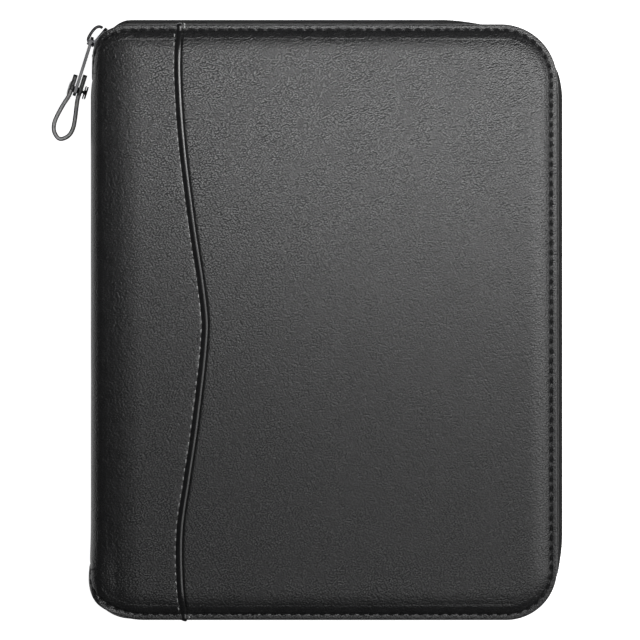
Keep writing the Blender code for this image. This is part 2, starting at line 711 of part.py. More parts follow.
def make_ring_halves(side, prefix, pivot, steel):
    x = HINGE_PLATE_X
    inner, outer, notch = HINGE_SPLIT, HINGE_PLATE_DZ, POST_R + HINGE_NOTCH_CLEAR
    outline = [(-HINGE_PLATE_HALF_L, inner)]
    for y in (-RIVET_Y, RIVET_Y):
        outline += [(y - notch, inner), (y - notch, notch), (y + notch, notch), (y + notch, inner)]
    outline += [(HINGE_PLATE_HALF_L, inner), (HINGE_PLATE_HALF_L, outer), (-HINGE_PLATE_HALF_L, outer)]
    rings = [[(at, y, MID_Z + side * dz) for y, dz in outline] for at in (x, x + HINGE_PLATE_T)]
    loft(prefix + "_hinge_plate", rings, steel, pivot)
    foot = x + HINGE_PLATE_T + FOOT_CLEAR
    gap = math.degrees(FIT / 2 / RING_R)
    for number, y in enumerate(RING_YS, 1):
        path = []
        for k in range(11):
            a = math.radians(gap + (RING_ARC - gap) * k / 10)
            path.append(Vector((RING_X + RING_R * math.cos(a), y, MID_Z + side * RING_R * math.sin(a))))
        path.append(Vector((foot, y, MID_Z + side * FOOT_DZ)))
        rings = tube_rings(path, WIRE_R, 8, Vector((0, 1, 0)))
        loft(prefix + "_ring_" + str(number), rings, steel, pivot)


def make_casing(steel):
    x, w, h, t = CASING_X, CASING_HALF_W, CASING_H, CASING_T
    slant = w - CASING_SHOULDER
    outer = [(x, w), (x + CASING_SIDE, w), (x + CASING_CURVE, slant), (x + h, CASING_TOP_HALF)]
    inner = [(x, w - t), (x + CASING_SIDE - FIT, w - t),
             (x + CASING_CURVE - 2 * FIT, slant - CASING_SLANT_T), (x + h - t, CASING_TOP_HALF - FIT)]
    ring = [(a, -b) for a, b in outer] + [(a, b) for a, b in reversed(outer)]
    ring += [(a, b) for a, b in inner] + [(a, -b) for a, b in reversed(inner)]
    rings = [[(a, y, MID_Z + b) for a, b in ring] for y in (-CASING_HALF_L, CASING_HALF_L)]
    casing = loft("ring_casing", rings, steel, "spine")
    pieces = []
    past = x + 2 * h
    gap = WIRE_R + WIRE_CLEAR
    for y in RING_YS:
        for side in (-1, 1):
            zs = sorted((MID_Z + side * NOTCH_FROM, MID_Z + side * 2 * w))
            pieces.append(box_rings((x + NOTCH_LIFT, past), (y - gap, y + gap), zs))
    for y in (-RIVET_Y, RIVET_Y):
        pieces.append(cylinder_rings((x + h / 2, y, MID_Z), (past, y, MID_Z), POST_R + FIT))
    cut(casing, "ring_casing_openings", pieces, "spine")
    top = x + h + FIT
    low = SPINE_BOARD_X + FIT
    for name, y in (("casing_rivet_top", RIVET_Y), ("casing_rivet_bottom", -RIVET_Y)):
        axis = [((a, y, MID_Z), (b, y, MID_Z)) for a, b in ((low, top), (top, top + POST_HEAD_T))]
        stepped_cylinder(name, axis, (POST_R, POST_HEAD_R), steel, "spine")


def make_triggers(steel):
    wide = CASING_HALF_W - CASING_SHOULDER - CASING_T - 2 * FIT
    profile = TRIGGER_LOWER + TRIGGER_TIP + TRIGGER_UPPER
    for name, sy in (("top_trigger", 1), ("bottom_trigger", -1)):
        rings = []
        for dz in (-wide, -TRIGGER_ARM_W, TRIGGER_ARM_W, wide):
            ring = []
            for a, b in profile:
                keep = TRIGGER_TAPER if abs(dz) == wide and b >= TRIGGER_BARREL else 1.0
                ring.append((TRIGGER_X + a * keep, sy * (TRIGGER_Y + b * keep), MID_Z + dz))
            rings.append(ring)
        loft(name, rings, steel, name)


def make_pages(paper):
    for name, zs in (("lower_pages", (MID_Z - FIT / 2 - PAGE_T, MID_Z - FIT / 2)),
                     ("upper_pages", (MID_Z + FIT / 2, MID_Z + FIT / 2 + PAGE_T))):
        block = box(name, (PAGE_X, PAGE_X + PAGE_W), (-PAGE_H / 2, PAGE_H / 2), zs, paper, name)
        slots = []
        r = SLOT_W / 2
        for y in RING_YS:
            outline = [(p[0], p[1]) for p in arc(RING_X + SLOT_FROM + r, y, r, 90, 270, 6)]
            outline += [(p[0], p[1]) for p in arc(RING_X + SLOT_TO - r, y, r, -90, 90, 6)]
            slots.append([[(a, b, z) for a, b in outline] for z in (zs[0] - 1, zs[1] + 1)])
        cut(block, name + "_slots", slots, name)


def make_pockets(cloth, leather, elastic):
    left, right = -HALF_W + POCKET_LEFT, HALF_W - POCKET_RIGHT
    low = -HALF_H + POCKET_LOW
    card_x = -HALF_W + CARD_LEFT
    front_top = CARD_Y - POCKET_CARD_GAP
    back_top = HALF_H - BACK_POCKET_DROP
    for prefix, side, rise in (("front", 1, front_top), ("back", -1, back_top)):
        zs = sorted(MID_Z + side * (LINING_H - FIT - h) for h in (0.0, POCKET_T))
        outline = ((left, low), (X_RIGHT_CORNER, low), (right, low + POCKET_CORNER),
                   (right, rise), (left, rise - POCKET_SLOPE))
        plate(prefix + "_pocket", outline, zs, cloth, prefix + "_cover")
    for k in range(3):
        top = MID_Z + LINING_H - FIT - k * (POCKET_T + FIT)
        ys = (CARD_Y, CARD_Y + CARD_H - CARD_STEP * k)
        name = "card_pocket_" + str(k + 1)
        box(name, (card_x, card_x + CARD_W), ys, (top - POCKET_T, top), leather, "front_cover")
    make_pen_loop(MID_Z + LINING_H - FIT - PEN_R, elastic)


def make_pen_loop(centre_z, elastic):
    rings = []
    x, y_mid, bore = HALF_W - PEN_EDGE, HALF_H - PEN_DROP, PEN_R - PEN_WALL
    low, high = y_mid - PEN_HALF_L, y_mid + PEN_HALF_L
    for y, r in ((low, PEN_R), (high, PEN_R), (high, bore), (low, bore)):
        turns = [2 * math.pi * k / 20 for k in range(20)]
        rings.append([(x + r * math.cos(a), y, centre_z + r * math.sin(a)) for a in turns])
    n = len(rings[0])
    verts = [p for ring in rings for p in ring]
    faces = []
    for i in range(4):
        for k in range(n):
            m = (k + 1) % n
            a, b = i * n, (i + 1) % 4 * n
            faces.append((a + k, a + m, b + m, b + k))
    add_solid("pen_loop", verts, faces, elastic, "front_cover")


def make_pivots():
    bar, rivet, _, _ = pull_frame()
    add_pivot("back_cover", (0, 0, 0))
    add_pivot("spine", (X_HINGE, 0, Z_BACK_HINGE), "back_cover")
    add_pivot("front_cover", (X_HINGE, 0, Z_FRONT_HINGE), "spine")
    plate_mid = HINGE_PLATE_X + HINGE_PLATE_T / 2
    add_pivot("front_rings", (plate_mid, 0, MID_Z + RING_PIVOT_DZ), "spine")
    add_pivot("back_rings", (plate_mid, 0, MID_Z - RING_PIVOT_DZ), "spine")
    add_pivot("top_trigger", (TRIGGER_X, TRIGGER_Y, MID_Z), "spine")
    add_pivot("bottom_trigger", (TRIGGER_X, -TRIGGER_Y, MID_Z), "spine")
    add_pivot("lower_pages", (RING_X, 0, MID_Z), "spine")
    add_pivot("upper_pages", (RING_X, 0, MID_Z), "spine")
    add_pivot("zip_slider", (ZIP_LEFT_X, ZIP_LEFT_Y, MID_Z), "spine")
    add_pivot("pull_tab", bar, "zip_slider")
    add_pivot("pull_strap", rivet, "pull_tab")


def make_all():
    leather = material("black_leather", (0.016, 0.016, 0.018), 0.5)
    lining = material("lining_cloth", (0.03, 0.03, 0.034), 0.85)
    board = material("grey_board", (0.32, 0.29, 0.25), 0.9)
    foam = material("pad_foam", (0.5, 0.49, 0.46), 0.95)
    tape = material("zip_tape", (0.014, 0.014, 0.015), 0.9)
    coil = material("zip_coil", (0.02, 0.02, 0.022), 0.45)
    dark_metal = material("dark_metal", (0.05, 0.05, 0.055), 0.35, 1.0)
    nickel = material("nickel", (0.62, 0.62, 0.63), 0.22, 1.0)
    paper = material("paper", (0.86, 0.84, 0.78), 0.9)
    elastic = material("elastic", (0.02, 0.02, 0.02), 0.9)
    make_pivots()
    make_outer_skins(leather)
    for side, prefix in ((-1, "back"), (1, "front")):
        make_cover_layers(side, prefix, prefix + "_cover", board, lining, foam)
        make_edge_binding(side, prefix, prefix + "_cover", leather)
    make_spine(leather, board, lining)
    make_zip(-1, "back", (TAPE_END, FRONT_END_TOP), "back_cover", tape, coil)
    make_zip(1, "front", (FRONT_END_BOTTOM, FRONT_END_TOP), "front_cover", tape, coil)
    make_zip_ends(tape, coil, dark_metal)
    make_slider(dark_metal)
    make_pull_tab(nickel)
    make_pull_strap(leather, nickel)
    make_ring_halves(1, "front", "front_rings", nickel)
    make_ring_halves(-1, "back", "back_rings", nickel)
    make_casing(nickel)
    make_triggers(nickel)
    make_pages(paper)
    make_pockets(lining, leather, elastic)


for old in list(bpy.data.objects):
    bpy.data.objects.remove(old)
make_all()
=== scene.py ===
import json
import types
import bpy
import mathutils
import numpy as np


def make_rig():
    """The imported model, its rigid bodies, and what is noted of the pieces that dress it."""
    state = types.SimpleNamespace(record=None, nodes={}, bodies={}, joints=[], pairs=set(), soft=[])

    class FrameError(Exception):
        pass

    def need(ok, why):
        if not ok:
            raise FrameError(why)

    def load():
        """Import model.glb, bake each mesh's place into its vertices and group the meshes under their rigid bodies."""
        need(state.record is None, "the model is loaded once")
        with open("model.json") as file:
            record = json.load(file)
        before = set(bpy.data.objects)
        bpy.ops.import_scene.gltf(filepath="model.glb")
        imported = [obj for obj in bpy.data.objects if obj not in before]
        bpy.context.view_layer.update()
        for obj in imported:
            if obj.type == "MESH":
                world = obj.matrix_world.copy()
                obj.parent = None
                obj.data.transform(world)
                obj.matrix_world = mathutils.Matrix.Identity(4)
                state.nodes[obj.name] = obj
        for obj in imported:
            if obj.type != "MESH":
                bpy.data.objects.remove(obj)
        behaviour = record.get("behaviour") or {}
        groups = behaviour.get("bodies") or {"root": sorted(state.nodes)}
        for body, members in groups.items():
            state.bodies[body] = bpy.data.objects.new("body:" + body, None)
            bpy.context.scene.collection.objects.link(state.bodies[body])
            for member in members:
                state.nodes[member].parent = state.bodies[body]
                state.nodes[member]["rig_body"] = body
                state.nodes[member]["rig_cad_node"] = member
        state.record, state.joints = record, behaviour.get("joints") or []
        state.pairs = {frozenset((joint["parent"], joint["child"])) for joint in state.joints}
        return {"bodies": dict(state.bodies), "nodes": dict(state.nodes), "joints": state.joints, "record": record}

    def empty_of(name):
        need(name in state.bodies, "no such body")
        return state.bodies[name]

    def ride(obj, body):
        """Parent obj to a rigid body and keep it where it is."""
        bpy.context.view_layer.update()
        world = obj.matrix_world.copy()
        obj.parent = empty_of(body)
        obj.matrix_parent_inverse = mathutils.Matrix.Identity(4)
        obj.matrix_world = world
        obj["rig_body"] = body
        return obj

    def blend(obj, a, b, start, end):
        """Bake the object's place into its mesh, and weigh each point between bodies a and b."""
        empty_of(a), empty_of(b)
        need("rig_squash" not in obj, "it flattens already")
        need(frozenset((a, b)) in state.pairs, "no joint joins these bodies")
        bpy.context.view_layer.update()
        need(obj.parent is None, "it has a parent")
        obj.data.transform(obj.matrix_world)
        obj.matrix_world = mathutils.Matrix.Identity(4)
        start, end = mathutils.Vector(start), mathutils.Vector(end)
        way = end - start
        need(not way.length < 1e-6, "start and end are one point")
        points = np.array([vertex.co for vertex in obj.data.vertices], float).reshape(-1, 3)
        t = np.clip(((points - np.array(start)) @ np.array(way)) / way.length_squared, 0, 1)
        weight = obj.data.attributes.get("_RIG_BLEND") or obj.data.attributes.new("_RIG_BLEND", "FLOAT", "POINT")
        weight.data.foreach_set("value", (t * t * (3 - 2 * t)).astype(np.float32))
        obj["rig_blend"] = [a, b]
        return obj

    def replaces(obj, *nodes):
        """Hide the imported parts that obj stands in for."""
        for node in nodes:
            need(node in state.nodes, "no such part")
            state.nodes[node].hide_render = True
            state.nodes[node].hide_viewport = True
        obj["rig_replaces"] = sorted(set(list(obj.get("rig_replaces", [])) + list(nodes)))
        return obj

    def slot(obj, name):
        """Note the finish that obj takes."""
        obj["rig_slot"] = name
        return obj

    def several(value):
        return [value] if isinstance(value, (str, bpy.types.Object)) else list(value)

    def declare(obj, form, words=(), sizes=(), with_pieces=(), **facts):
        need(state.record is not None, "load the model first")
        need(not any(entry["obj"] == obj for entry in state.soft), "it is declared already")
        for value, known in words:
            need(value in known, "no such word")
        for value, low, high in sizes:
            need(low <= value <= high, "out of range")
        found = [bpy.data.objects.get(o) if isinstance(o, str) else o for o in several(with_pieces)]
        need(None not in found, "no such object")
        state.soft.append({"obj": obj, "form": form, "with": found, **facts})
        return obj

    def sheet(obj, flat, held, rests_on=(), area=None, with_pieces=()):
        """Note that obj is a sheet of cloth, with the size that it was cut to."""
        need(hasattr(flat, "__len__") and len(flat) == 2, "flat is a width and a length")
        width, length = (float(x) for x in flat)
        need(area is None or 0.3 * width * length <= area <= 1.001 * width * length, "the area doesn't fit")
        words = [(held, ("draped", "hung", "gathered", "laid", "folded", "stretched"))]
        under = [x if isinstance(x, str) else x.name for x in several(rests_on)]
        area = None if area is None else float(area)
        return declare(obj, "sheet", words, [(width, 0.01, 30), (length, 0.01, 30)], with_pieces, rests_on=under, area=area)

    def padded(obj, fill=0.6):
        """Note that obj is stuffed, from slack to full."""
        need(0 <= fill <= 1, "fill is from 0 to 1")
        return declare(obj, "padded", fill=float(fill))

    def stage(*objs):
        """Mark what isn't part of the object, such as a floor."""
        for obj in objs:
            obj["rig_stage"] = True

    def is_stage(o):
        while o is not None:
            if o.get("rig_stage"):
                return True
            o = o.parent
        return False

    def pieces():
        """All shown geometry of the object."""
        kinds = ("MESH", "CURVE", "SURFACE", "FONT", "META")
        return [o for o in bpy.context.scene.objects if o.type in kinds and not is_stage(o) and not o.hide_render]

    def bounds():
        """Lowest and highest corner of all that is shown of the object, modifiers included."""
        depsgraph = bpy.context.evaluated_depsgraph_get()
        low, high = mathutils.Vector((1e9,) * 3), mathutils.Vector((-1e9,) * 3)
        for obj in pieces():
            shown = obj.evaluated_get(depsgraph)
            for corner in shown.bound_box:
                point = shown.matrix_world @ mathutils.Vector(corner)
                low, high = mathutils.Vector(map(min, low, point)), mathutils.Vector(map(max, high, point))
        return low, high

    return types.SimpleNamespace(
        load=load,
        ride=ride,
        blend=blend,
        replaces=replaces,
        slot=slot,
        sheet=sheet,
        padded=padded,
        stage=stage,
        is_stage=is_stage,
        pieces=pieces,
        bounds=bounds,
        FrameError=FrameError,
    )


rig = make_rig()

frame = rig.load()

import json
import random
from math import cos, degrees, dist, pi, radians, sin, sqrt, tan

import bpy
import numpy as np
from mathutils import Matrix, Vector
from mathutils.geometry import tessellate_polygon

CAD_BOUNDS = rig.bounds()
RNG = random.Random(7)

# Shapes are in millimetres, materials and studio in metres
MM = 0.001

# Case
COVERS = (("front", 1), ("back", -1))
MID = 26.0
HALF_W = 94.0
HALF_H = 120.0
SPINE_R = 20.0
FORE_R = 24.0
SPINE_HALF = HALF_H - SPINE_R
FORE_HALF = HALF_H - FORE_R
RIGHT_C = HALF_W - FORE_R
LINING_Z = 19.0

# Leather's corners as (across, up) radii, measured on the photo
TOP_FORE = (22.7, 22.7)
LOW_FORE = (20.5, 20.5)
CORNERS = ((1, TOP_FORE, (20.0, SPINE_R)), (-1, LOW_FORE, (26.0, SPINE_R)))

# Leather's roll over the spine edge: a slow roll, a tight fold, then the flat spine
ROLL_R = 60.0
ROLL_TURN = radians(15.0)
FOLD_R = 7.0
ROLL_X = -HALF_W + ROLL_R * sin(ROLL_TURN) + FOLD_R * (1 - sin(ROLL_TURN))
ROLL_RUN = ROLL_R * ROLL_TURN
FOLD_RUN = FOLD_R * (pi / 2 - ROLL_TURN)
FLAT_LEFT = ROLL_X - ROLL_RUN - FOLD_RUN
SPINE_RUN = MID - ROLL_R * (1 - cos(ROLL_TURN)) - FOLD_R * cos(ROLL_TURN)
MID_SPINE = FLAT_LEFT - SPINE_RUN
LEFT_C = FLAT_LEFT + SPINE_R
FOLDS = {1: ("spine", "front_cover", (-94 * MM, 0, 43 * MM), (-86 * MM, 0, 51 * MM)),
         -1: ("back_cover", "spine", (-86 * MM, 0, 1 * MM), (-94 * MM, 0, 9 * MM))}

# Padding: its height over the stitches, the distance it rises over, and from where to where it thins out
DROP = 2.4
SWELL = 11.1
THIN = (-92.0, -72.0, 0.25, 1.0)

# Stitched rim, by distances in from the leather's edge
STITCH_AT = 2.4
RIM_W = 6.0
RIM_RISE = 0.2
RIM_MID = 1.15
RIM_HALF = 1.25
RIM_DS = np.array([6.6, 6.0, 5.2, 4.4, 3.8, 3.4, 3.1, 2.8, 2.6, 2.4, 2.2, 2.0, 1.7, 1.4, 1.1, 0.85, 0.6])
RIM_BLEND = (3.0, 5.0)
RIM_TUCK = 0.3
RIM_DEPTH = ((-100.0, -97.0, -86.0, -80.0), (4.7, 3.0, 3.4, 7.0))
WALL_DS = np.array([0.42, 0.24, 0.1, 0.02, 0.0, 0.0, 0.05, 0.3, 1.3])
WALL_TOP = np.array([0.17, 0.06, -0.09, -0.28, -0.5])
WALL_ROUND = 0.25
INNER_H = HALF_H - RIM_W
SPINE_IN = SPINE_HALF - RIM_W
PANEL_ENDS = ((SPINE_IN, INNER_H), (-INNER_H, -SPINE_IN))

# Stitches: five places along each
STITCH_PITCH = 3.95
STITCH_LENGTH = 2.7
STITCH_RUN = np.array([-0.5, -0.34, 0.0, 0.34, 0.5])
STITCH_LEAN = np.array([-0.14, -0.1, 0.0, 0.1, 0.14])
STITCH_ARCH = np.array([-0.8, -0.35, -0.25, -0.35, -0.8])
STITCH_RADII = (0.2, 0.28, 0.3, 0.28, 0.2)
SEAM_DIP = 0.08
HOLE_DIP = 0.52
DIP_W = 0.42
CLOTH_RUN = np.array([-0.5, -0.36, 0.0, 0.36, 0.5])
CLOTH_ARCH = np.array([-0.55, 0.02, 0.2, 0.02, -0.55])

# Bottom of the spine: the heel at the seam's end, and the lip at the corner
HEEL = 1.3
HEEL_Y = -104.0
HEEL_RUN = 10.0
HEEL_FROM = -84.0
HEEL_OVER = 10.0
LIP = 1.4
LIP_U = -89.0
LIP_RUN = 4.5
LIP_IN = 2.2

# Wave strip: its right edge as (y, distance from the left side), and its section
WAVE = ((120, 37.1), (100, 36.6), (72, 38.4), (40, 42.3), (10, 46.7), (-4, 47.6),
        (-40, 43.8), (-64, 40.3), (-84, 37.5), (-104, 37.5), (-120, 39.1))
STRIP_W = 2.8
STRIP_BEAD = np.array([(-0.12, -0.6), (0.0, -0.3), (0.4, -0.12), (0.9, 0.12), (1.35, 0.3), (1.65, 0.37),
                       (2.0, 0.39), (2.3, 0.36), (2.5, 0.22), (2.65, -0.05), (2.78, -0.5)])
STRIP_ENDS = np.array([8.0, 6.5, 5.2, 4.2, 3.4, 2.8, 2.5, 2.2, 1.8, 1.3, 0.8, 0.4])
STRIP_OVER = np.array([(0.12, 0.25 - DROP), (-0.1, -DROP), (-0.22, -DROP - 0.6), (-0.22, -DROP - 3.6)])
STRIP_TUCK = 0.12
STRIP_PUCKER = 0.07
STRIP_FADE = 0.6
MAIN_TUCK = 0.5
MAIN_FADE = 0.25
TICK_PITCH = 3.5
TICK_LENGTH = 1.6
TICK_OFF = 0.3
TICK_ARCH = np.array([-0.3, 0.05, 0.14, 0.05, -0.3])
TICK_RADII = (0.12, 0.2, 0.24, 0.2, 0.12)
KNOT = ((0.5, -0.6, 49.4), (0.9, 0.0, 50.0), (0.6, 0.5, 49.6))
KNOTS_AT = ((1, HALF_H - 1.2), (1, HALF_H - 0.1), (-1, -HALF_H + 1.2))
KNOT_R = 0.3

# Zip: its line, how far it bulges past it and where that eases, then coil, tape and cord
ZIP_INSET = 0.8
ZIP_BULGE = 2.79
TOP_BULGE = 2.54
LOW_BULGE = 0.4
CORNER_BULGE = -1.6
ZIP_LEFT_X = -78.0
ZIP_LEFT_R = 15.2
ZIP_LEFT_Y = HALF_H - ZIP_INSET - ZIP_LEFT_R
LOW_LEFT_R = 16.6
LOW_LEFT_X = -77.6
LOW_LEFT_Y = -HALF_H + ZIP_INSET + LOW_LEFT_R
LOW_EASE = (-121.8, -85.8)
HIGH_EASE = (90.0, 117.0)
FLOOR_EASE = (40.0, 66.0)
TOP_EASE = (83.5, 47.5)
LEFT_EASE = (90.0, 135.0)
FRONT_END = 150.0
BACK_END = 169.0
TOP_END = 95.0
TAIL_END = 166.0
TAIL_LOW = 5.0
TAIL_BLEND = ((-79.9 * MM, 119.1 * MM, 26 * MM), (-92.6 * MM, 108.2 * MM, 26 * MM))
COIL_PITCH = 1.3
COIL_MID = 1.75
COIL_H = 1.75
COIL_W = 0.8
COIL_WIRE = 0.33
COIL_IN = 0.6
COIL_STEPS = 10
COIL_SIDES = 5
TAPE_LOW = 2.4
TAPE_HIGH = 18.9
TAPE_HALF = 0.4
TAPE_LEAN = 0.4
CORD_AT = 0.58
CORD_R = 0.2
CORD_PROUD = 0.08


# Materials

class Shading:
    """A node material under construction."""

    def __init__(self, name):
        self.mat = bpy.data.materials.new(name)
        self.mat.use_nodes = True
        self.tree = self.mat.node_tree
        self.shader = self.tree.nodes["Principled BSDF"]
        self.place = self.add("ShaderNodeTexCoord").outputs["Object"]

    def add(self, kind, inputs=None, **settings):
        node = self.tree.nodes.new(kind)
        for key, value in settings.items():
            setattr(node, key, value)
        for key, value in (inputs or {}).items():
            self.put(node.inputs[key], value)
        return node

    def put(self, socket, value):
        if isinstance(value, bpy.types.NodeSocket):
            self.tree.links.new(value, socket)
        else:
            socket.default_value = value

    def noise(self, scale, detail=3.0, place=None):
        inputs = {"Vector": place or self.place, "Scale": scale, "Detail": detail}
        return self.add("ShaderNodeTexNoise", inputs).outputs["Fac"]

    def stretched(self, scale, turn=0.0):
        inputs = {"Vector": self.place, "Scale": scale, "Rotation": (0.0, 0.0, turn)}
        return self.add("ShaderNodeMapping", inputs, vector_type="TEXTURE").outputs["Vector"]

    def math(self, operation, a, b):
        return self.add("ShaderNodeMath", {0: a, 1: b}, operation=operation).outputs[0]

    def span(self, value, low, high, from_low=0.3, from_high=0.7):
        inputs = {"Value": value, "From Min": from_low, "From Max": from_high, "To Min": low, "To Max": high}
        return self.add("ShaderNodeMapRange", inputs).outputs["Result"]

    def tint(self, value, dark, light):
        ramp = self.add("ShaderNodeValToRGB", {"Fac": value})
        for stop, at, colour in zip(ramp.color_ramp.elements, (0.3, 0.7), (dark, light)):
            stop.position = at
            stop.color = (*colour, 1.0)
        return ramp.outputs["Color"]

    def bump(self, height, depth):
        node = self.add("ShaderNodeBump", {"Height": height, "Distance": depth})
        self.put(self.shader.inputs["Normal"], node.outputs["Normal"])

    def finish(self, colour, rough, specular=0.5, **inputs):
        inputs.update(Base_Color=colour, Roughness=rough, Specular_IOR_Level=specular)
        for key, value in inputs.items():
            self.put(self.shader.inputs[key.replace("_", " ")], value)
        return self.mat


# Grain: hollows between cells that are drawn out along a hatch, with finer flecks
GRAIN_STRETCH = (1.7, 1.0, 1.0)
GRAIN_TURN = radians(26)
GRAIN_CELLS = 1700.0
GRAIN_JITTER = 0.75
FLECK_SCALE = 1900.0
FLECK_SHARE = 0.15


def leather_material(name, dark, light, rough, grain, specular=0.5):
    s = Shading(name)
    hatch = s.stretched(GRAIN_STRETCH, GRAIN_TURN)
    inputs = {"Vector": hatch, "Scale": GRAIN_CELLS, "Randomness": GRAIN_JITTER}
    reach = s.add("ShaderNodeTexVoronoi", inputs, feature="F1").outputs["Distance"]
    hollow = s.math("MULTIPLY", reach, reach)
    flecks = s.math("MULTIPLY", s.noise(FLECK_SCALE, 1.0, hatch), FLECK_SHARE)
    s.bump(s.math("SUBTRACT", flecks, hollow), grain)
    sheen = s.math("ADD", s.span(s.noise(70.0), -0.012, 0.012),
                   s.span(hollow, rough - 0.03, rough + 0.05, 0.0, 0.35))
    return s.finish(s.tint(s.noise(220.0), dark, light), sheen, specular)


def cloth_material(name, dark, light, count, depth, rough=0.85, specular=0.25):
    s = Shading(name)
    inputs = {"Vector": s.place, "Scale": count, "Distortion": 0.6, "Detail": 1.0}
    x, y, z = (s.add("ShaderNodeTexWave", inputs, bands_direction=way).outputs["Fac"] for way in "XYZ")
    weave = s.math("MULTIPLY", s.math("ADD", x, y), z)
    s.bump(s.math("ADD", weave, s.math("MULTIPLY", s.noise(900.0), 0.5)), depth)
    sheen = s.span(s.noise(300.0), rough - 0.06, rough + 0.06)
    return s.finish(s.tint(s.noise(500.0), dark, light), sheen, specular)


def metal_material(name, dark, light, low, high):
    s = Shading(name)
    brushed = s.noise(240.0, 3.0, s.stretched((1.0, 6.7, 1.0)))
    s.bump(brushed, 0.00002)
    return s.finish(s.tint(s.noise(120.0), dark, light), s.span(brushed, low, high), Metallic=1.0)


def matte_material(name, dark, light, scale, depth, rough, specular=0.5):
    s = Shading(name)
    grain = s.noise(scale, 4.0)
    s.bump(grain, depth)
    sheen = s.span(grain, rough - 0.05, rough + 0.05)
    return s.finish(s.tint(s.noise(scale * 0.4), dark, light), sheen, specular)


def ruled_material(name, dark, light, line, gap, width):
    """Paper with printed lines, so far apart and so wide."""
    s = Shading(name)
    grain = s.noise(1800.0, 4.0)
    s.bump(grain, 0.00001)
    up = s.add("ShaderNodeSeparateXYZ", {"Vector": s.place}).outputs["Y"]
    row = s.math("MODULO", s.math("ADD", up, 1.0), gap)
    sheet = s.add("ShaderNodeMix", data_type="RGBA")
    s.put(sheet.inputs["Factor"], s.math("LESS_THAN", row, width))
    s.put(sheet.inputs[6], s.tint(s.noise(60.0), dark, light))
    s.put(sheet.inputs[7], (*line, 1.0))
    return s.finish(sheet.outputs[2], s.span(grain, 0.85, 0.95))


def grey(value, cool=0.0005):
    return value, value, value + cool


LEATHER = leather_material("black_leather_look", grey(0.010), grey(0.015), 0.27, 0.00015)
PIPING = leather_material("smooth_binding_look", grey(0.008), grey(0.012), 0.22, 0.00001, 0.6)
CUT_EDGE = matte_material("cut_leather_edge", grey(0.3, 0.003), grey(0.42, 0.002), 1500.0, 0.00008, 0.8)
THREAD = cloth_material("black_thread", grey(0.006), grey(0.010), 3000.0, 0.00004, 0.6)
# Light grey thread for the wave strip: a painted highlight standing for a dark shiny thread's glints
GLINT_PAINTED_THREAD = cloth_material("thread_with_painted_glint", grey(0.3, 0.001), grey(0.38, 0.001), 3000.0, 0.00002, 0.35, 0.8)
LINING = cloth_material("lining_weave", grey(0.022, 0.003), grey(0.036, 0.004), 1400.0, 0.0001)
TAPE = cloth_material("zip_tape_weave", grey(0.006), grey(0.011), 1700.0, 0.0001, 0.9, 0.1)
ELASTIC = cloth_material("elastic_weave", grey(0.012, 0.001), grey(0.022, 0.001), 1200.0, 0.00012)
COIL = matte_material("zip_coil_nylon", grey(0.006), grey(0.011), 900.0, 0.00002, 0.6, 0.2)
DARK_METAL = metal_material("dark_metal_look", grey(0.045, 0.003), grey(0.075, 0.005), 0.24, 0.38)
GUNMETAL = metal_material("gunmetal_look", grey(0.05, 0.0015), grey(0.07, 0.002), 0.26, 0.36)
# Black enamel for the rivet button; on the tab's bevelled edges the same black is painted shade
ENAMEL_AND_EDGE_SHADE = matte_material("black_enamel_and_painted_edge_shade", grey(0.006), grey(0.010), 900.0, 0.00001, 0.5, 0.2)
# Paler than the rings' nickel: the rivet head's own metal, lightened as a painted highlight
NICKEL_PAINTED_HIGHLIGHT = metal_material("pale_nickel_painted_highlight", grey(0.8, 0.005), grey(0.9, 0.005), 0.45, 0.55)
NICKEL = metal_material("nickel_look", grey(0.55, 0.01), grey(0.68, 0.01), 0.16, 0.30)
BOARD = matte_material("black_board_look", grey(0.012, 0.0), grey(0.02, 0.0), 900.0, 0.0001, 0.92)
PAPER_EDGE = matte_material("paper_edge_look", (0.72, 0.7, 0.64), (0.86, 0.84, 0.78), 2500.0, 0.00005, 0.92)
PAPER = ruled_material("ruled_paper_look", (0.82, 0.8, 0.74), (0.88, 0.86, 0.8), (0.42, 0.46, 0.52),
                       0.007, 0.0003)


# Mesh helpers

def add_object(name, data):
    obj = bpy.data.objects.new(name, data)
    bpy.context.scene.collection.objects.link(obj)
    return obj


def piece(name, verts, faces, mats, slot, smooth=True, indices=None, normals=None):
    mesh = bpy.data.meshes.new(name)
    points = np.asarray(verts, float).reshape(-1, 3) * MM
    mesh.from_pydata(points.tolist(), [], [tuple(int(k) for k in f) for f in faces])
    for mat in mats if isinstance(mats, (list, tuple)) else [mats]:
        mesh.materials.append(mat)
    if indices is not None:
        mesh.polygons.foreach_set("material_index", np.asarray(indices, np.int32))
    mesh.polygons.foreach_set("use_smooth", [smooth] * len(mesh.polygons))
    mesh.update()
    if normals is not None:
        mesh.normals_split_custom_set_from_vertices(normals.reshape(-1, 3).tolist())
    obj = add_object(name, mesh)
    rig.slot(obj, slot)
    return obj


def ride(obj, body, *nodes):
    """Fix a piece to a body, in place of the CAD nodes that it stands for."""
    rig.ride(obj, body)
    if nodes:
        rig.replaces(obj, *nodes)


def grid_faces(rows, cols, flip=False, first=0, around=False):
    faces = []
    for r in range(rows - 1):
        for c in range(cols if around else cols - 1):
            a, b = first + r * cols + c, first + r * cols + (c + 1) % cols
            quad = (a, b, b + cols, a + cols)
            faces.append(quad[::-1] if flip else quad)
    return faces


def tube_faces(rings, sides):
    """Faces of a closed tube of rings, its two ends last."""
    last = (rings - 1) * sides
    ends = [tuple(reversed(range(sides))), tuple(last + k for k in range(sides))]
    return grid_faces(rings, sides, around=True) + ends


def joined(parts):
    """One list of points and faces from several."""
    verts, faces = [], []
    for points, quads in parts:
        base = len(verts)
        verts += [tuple(p) for p in points]
        faces += [tuple(base + k for k in f) for f in quads]
    return verts, faces


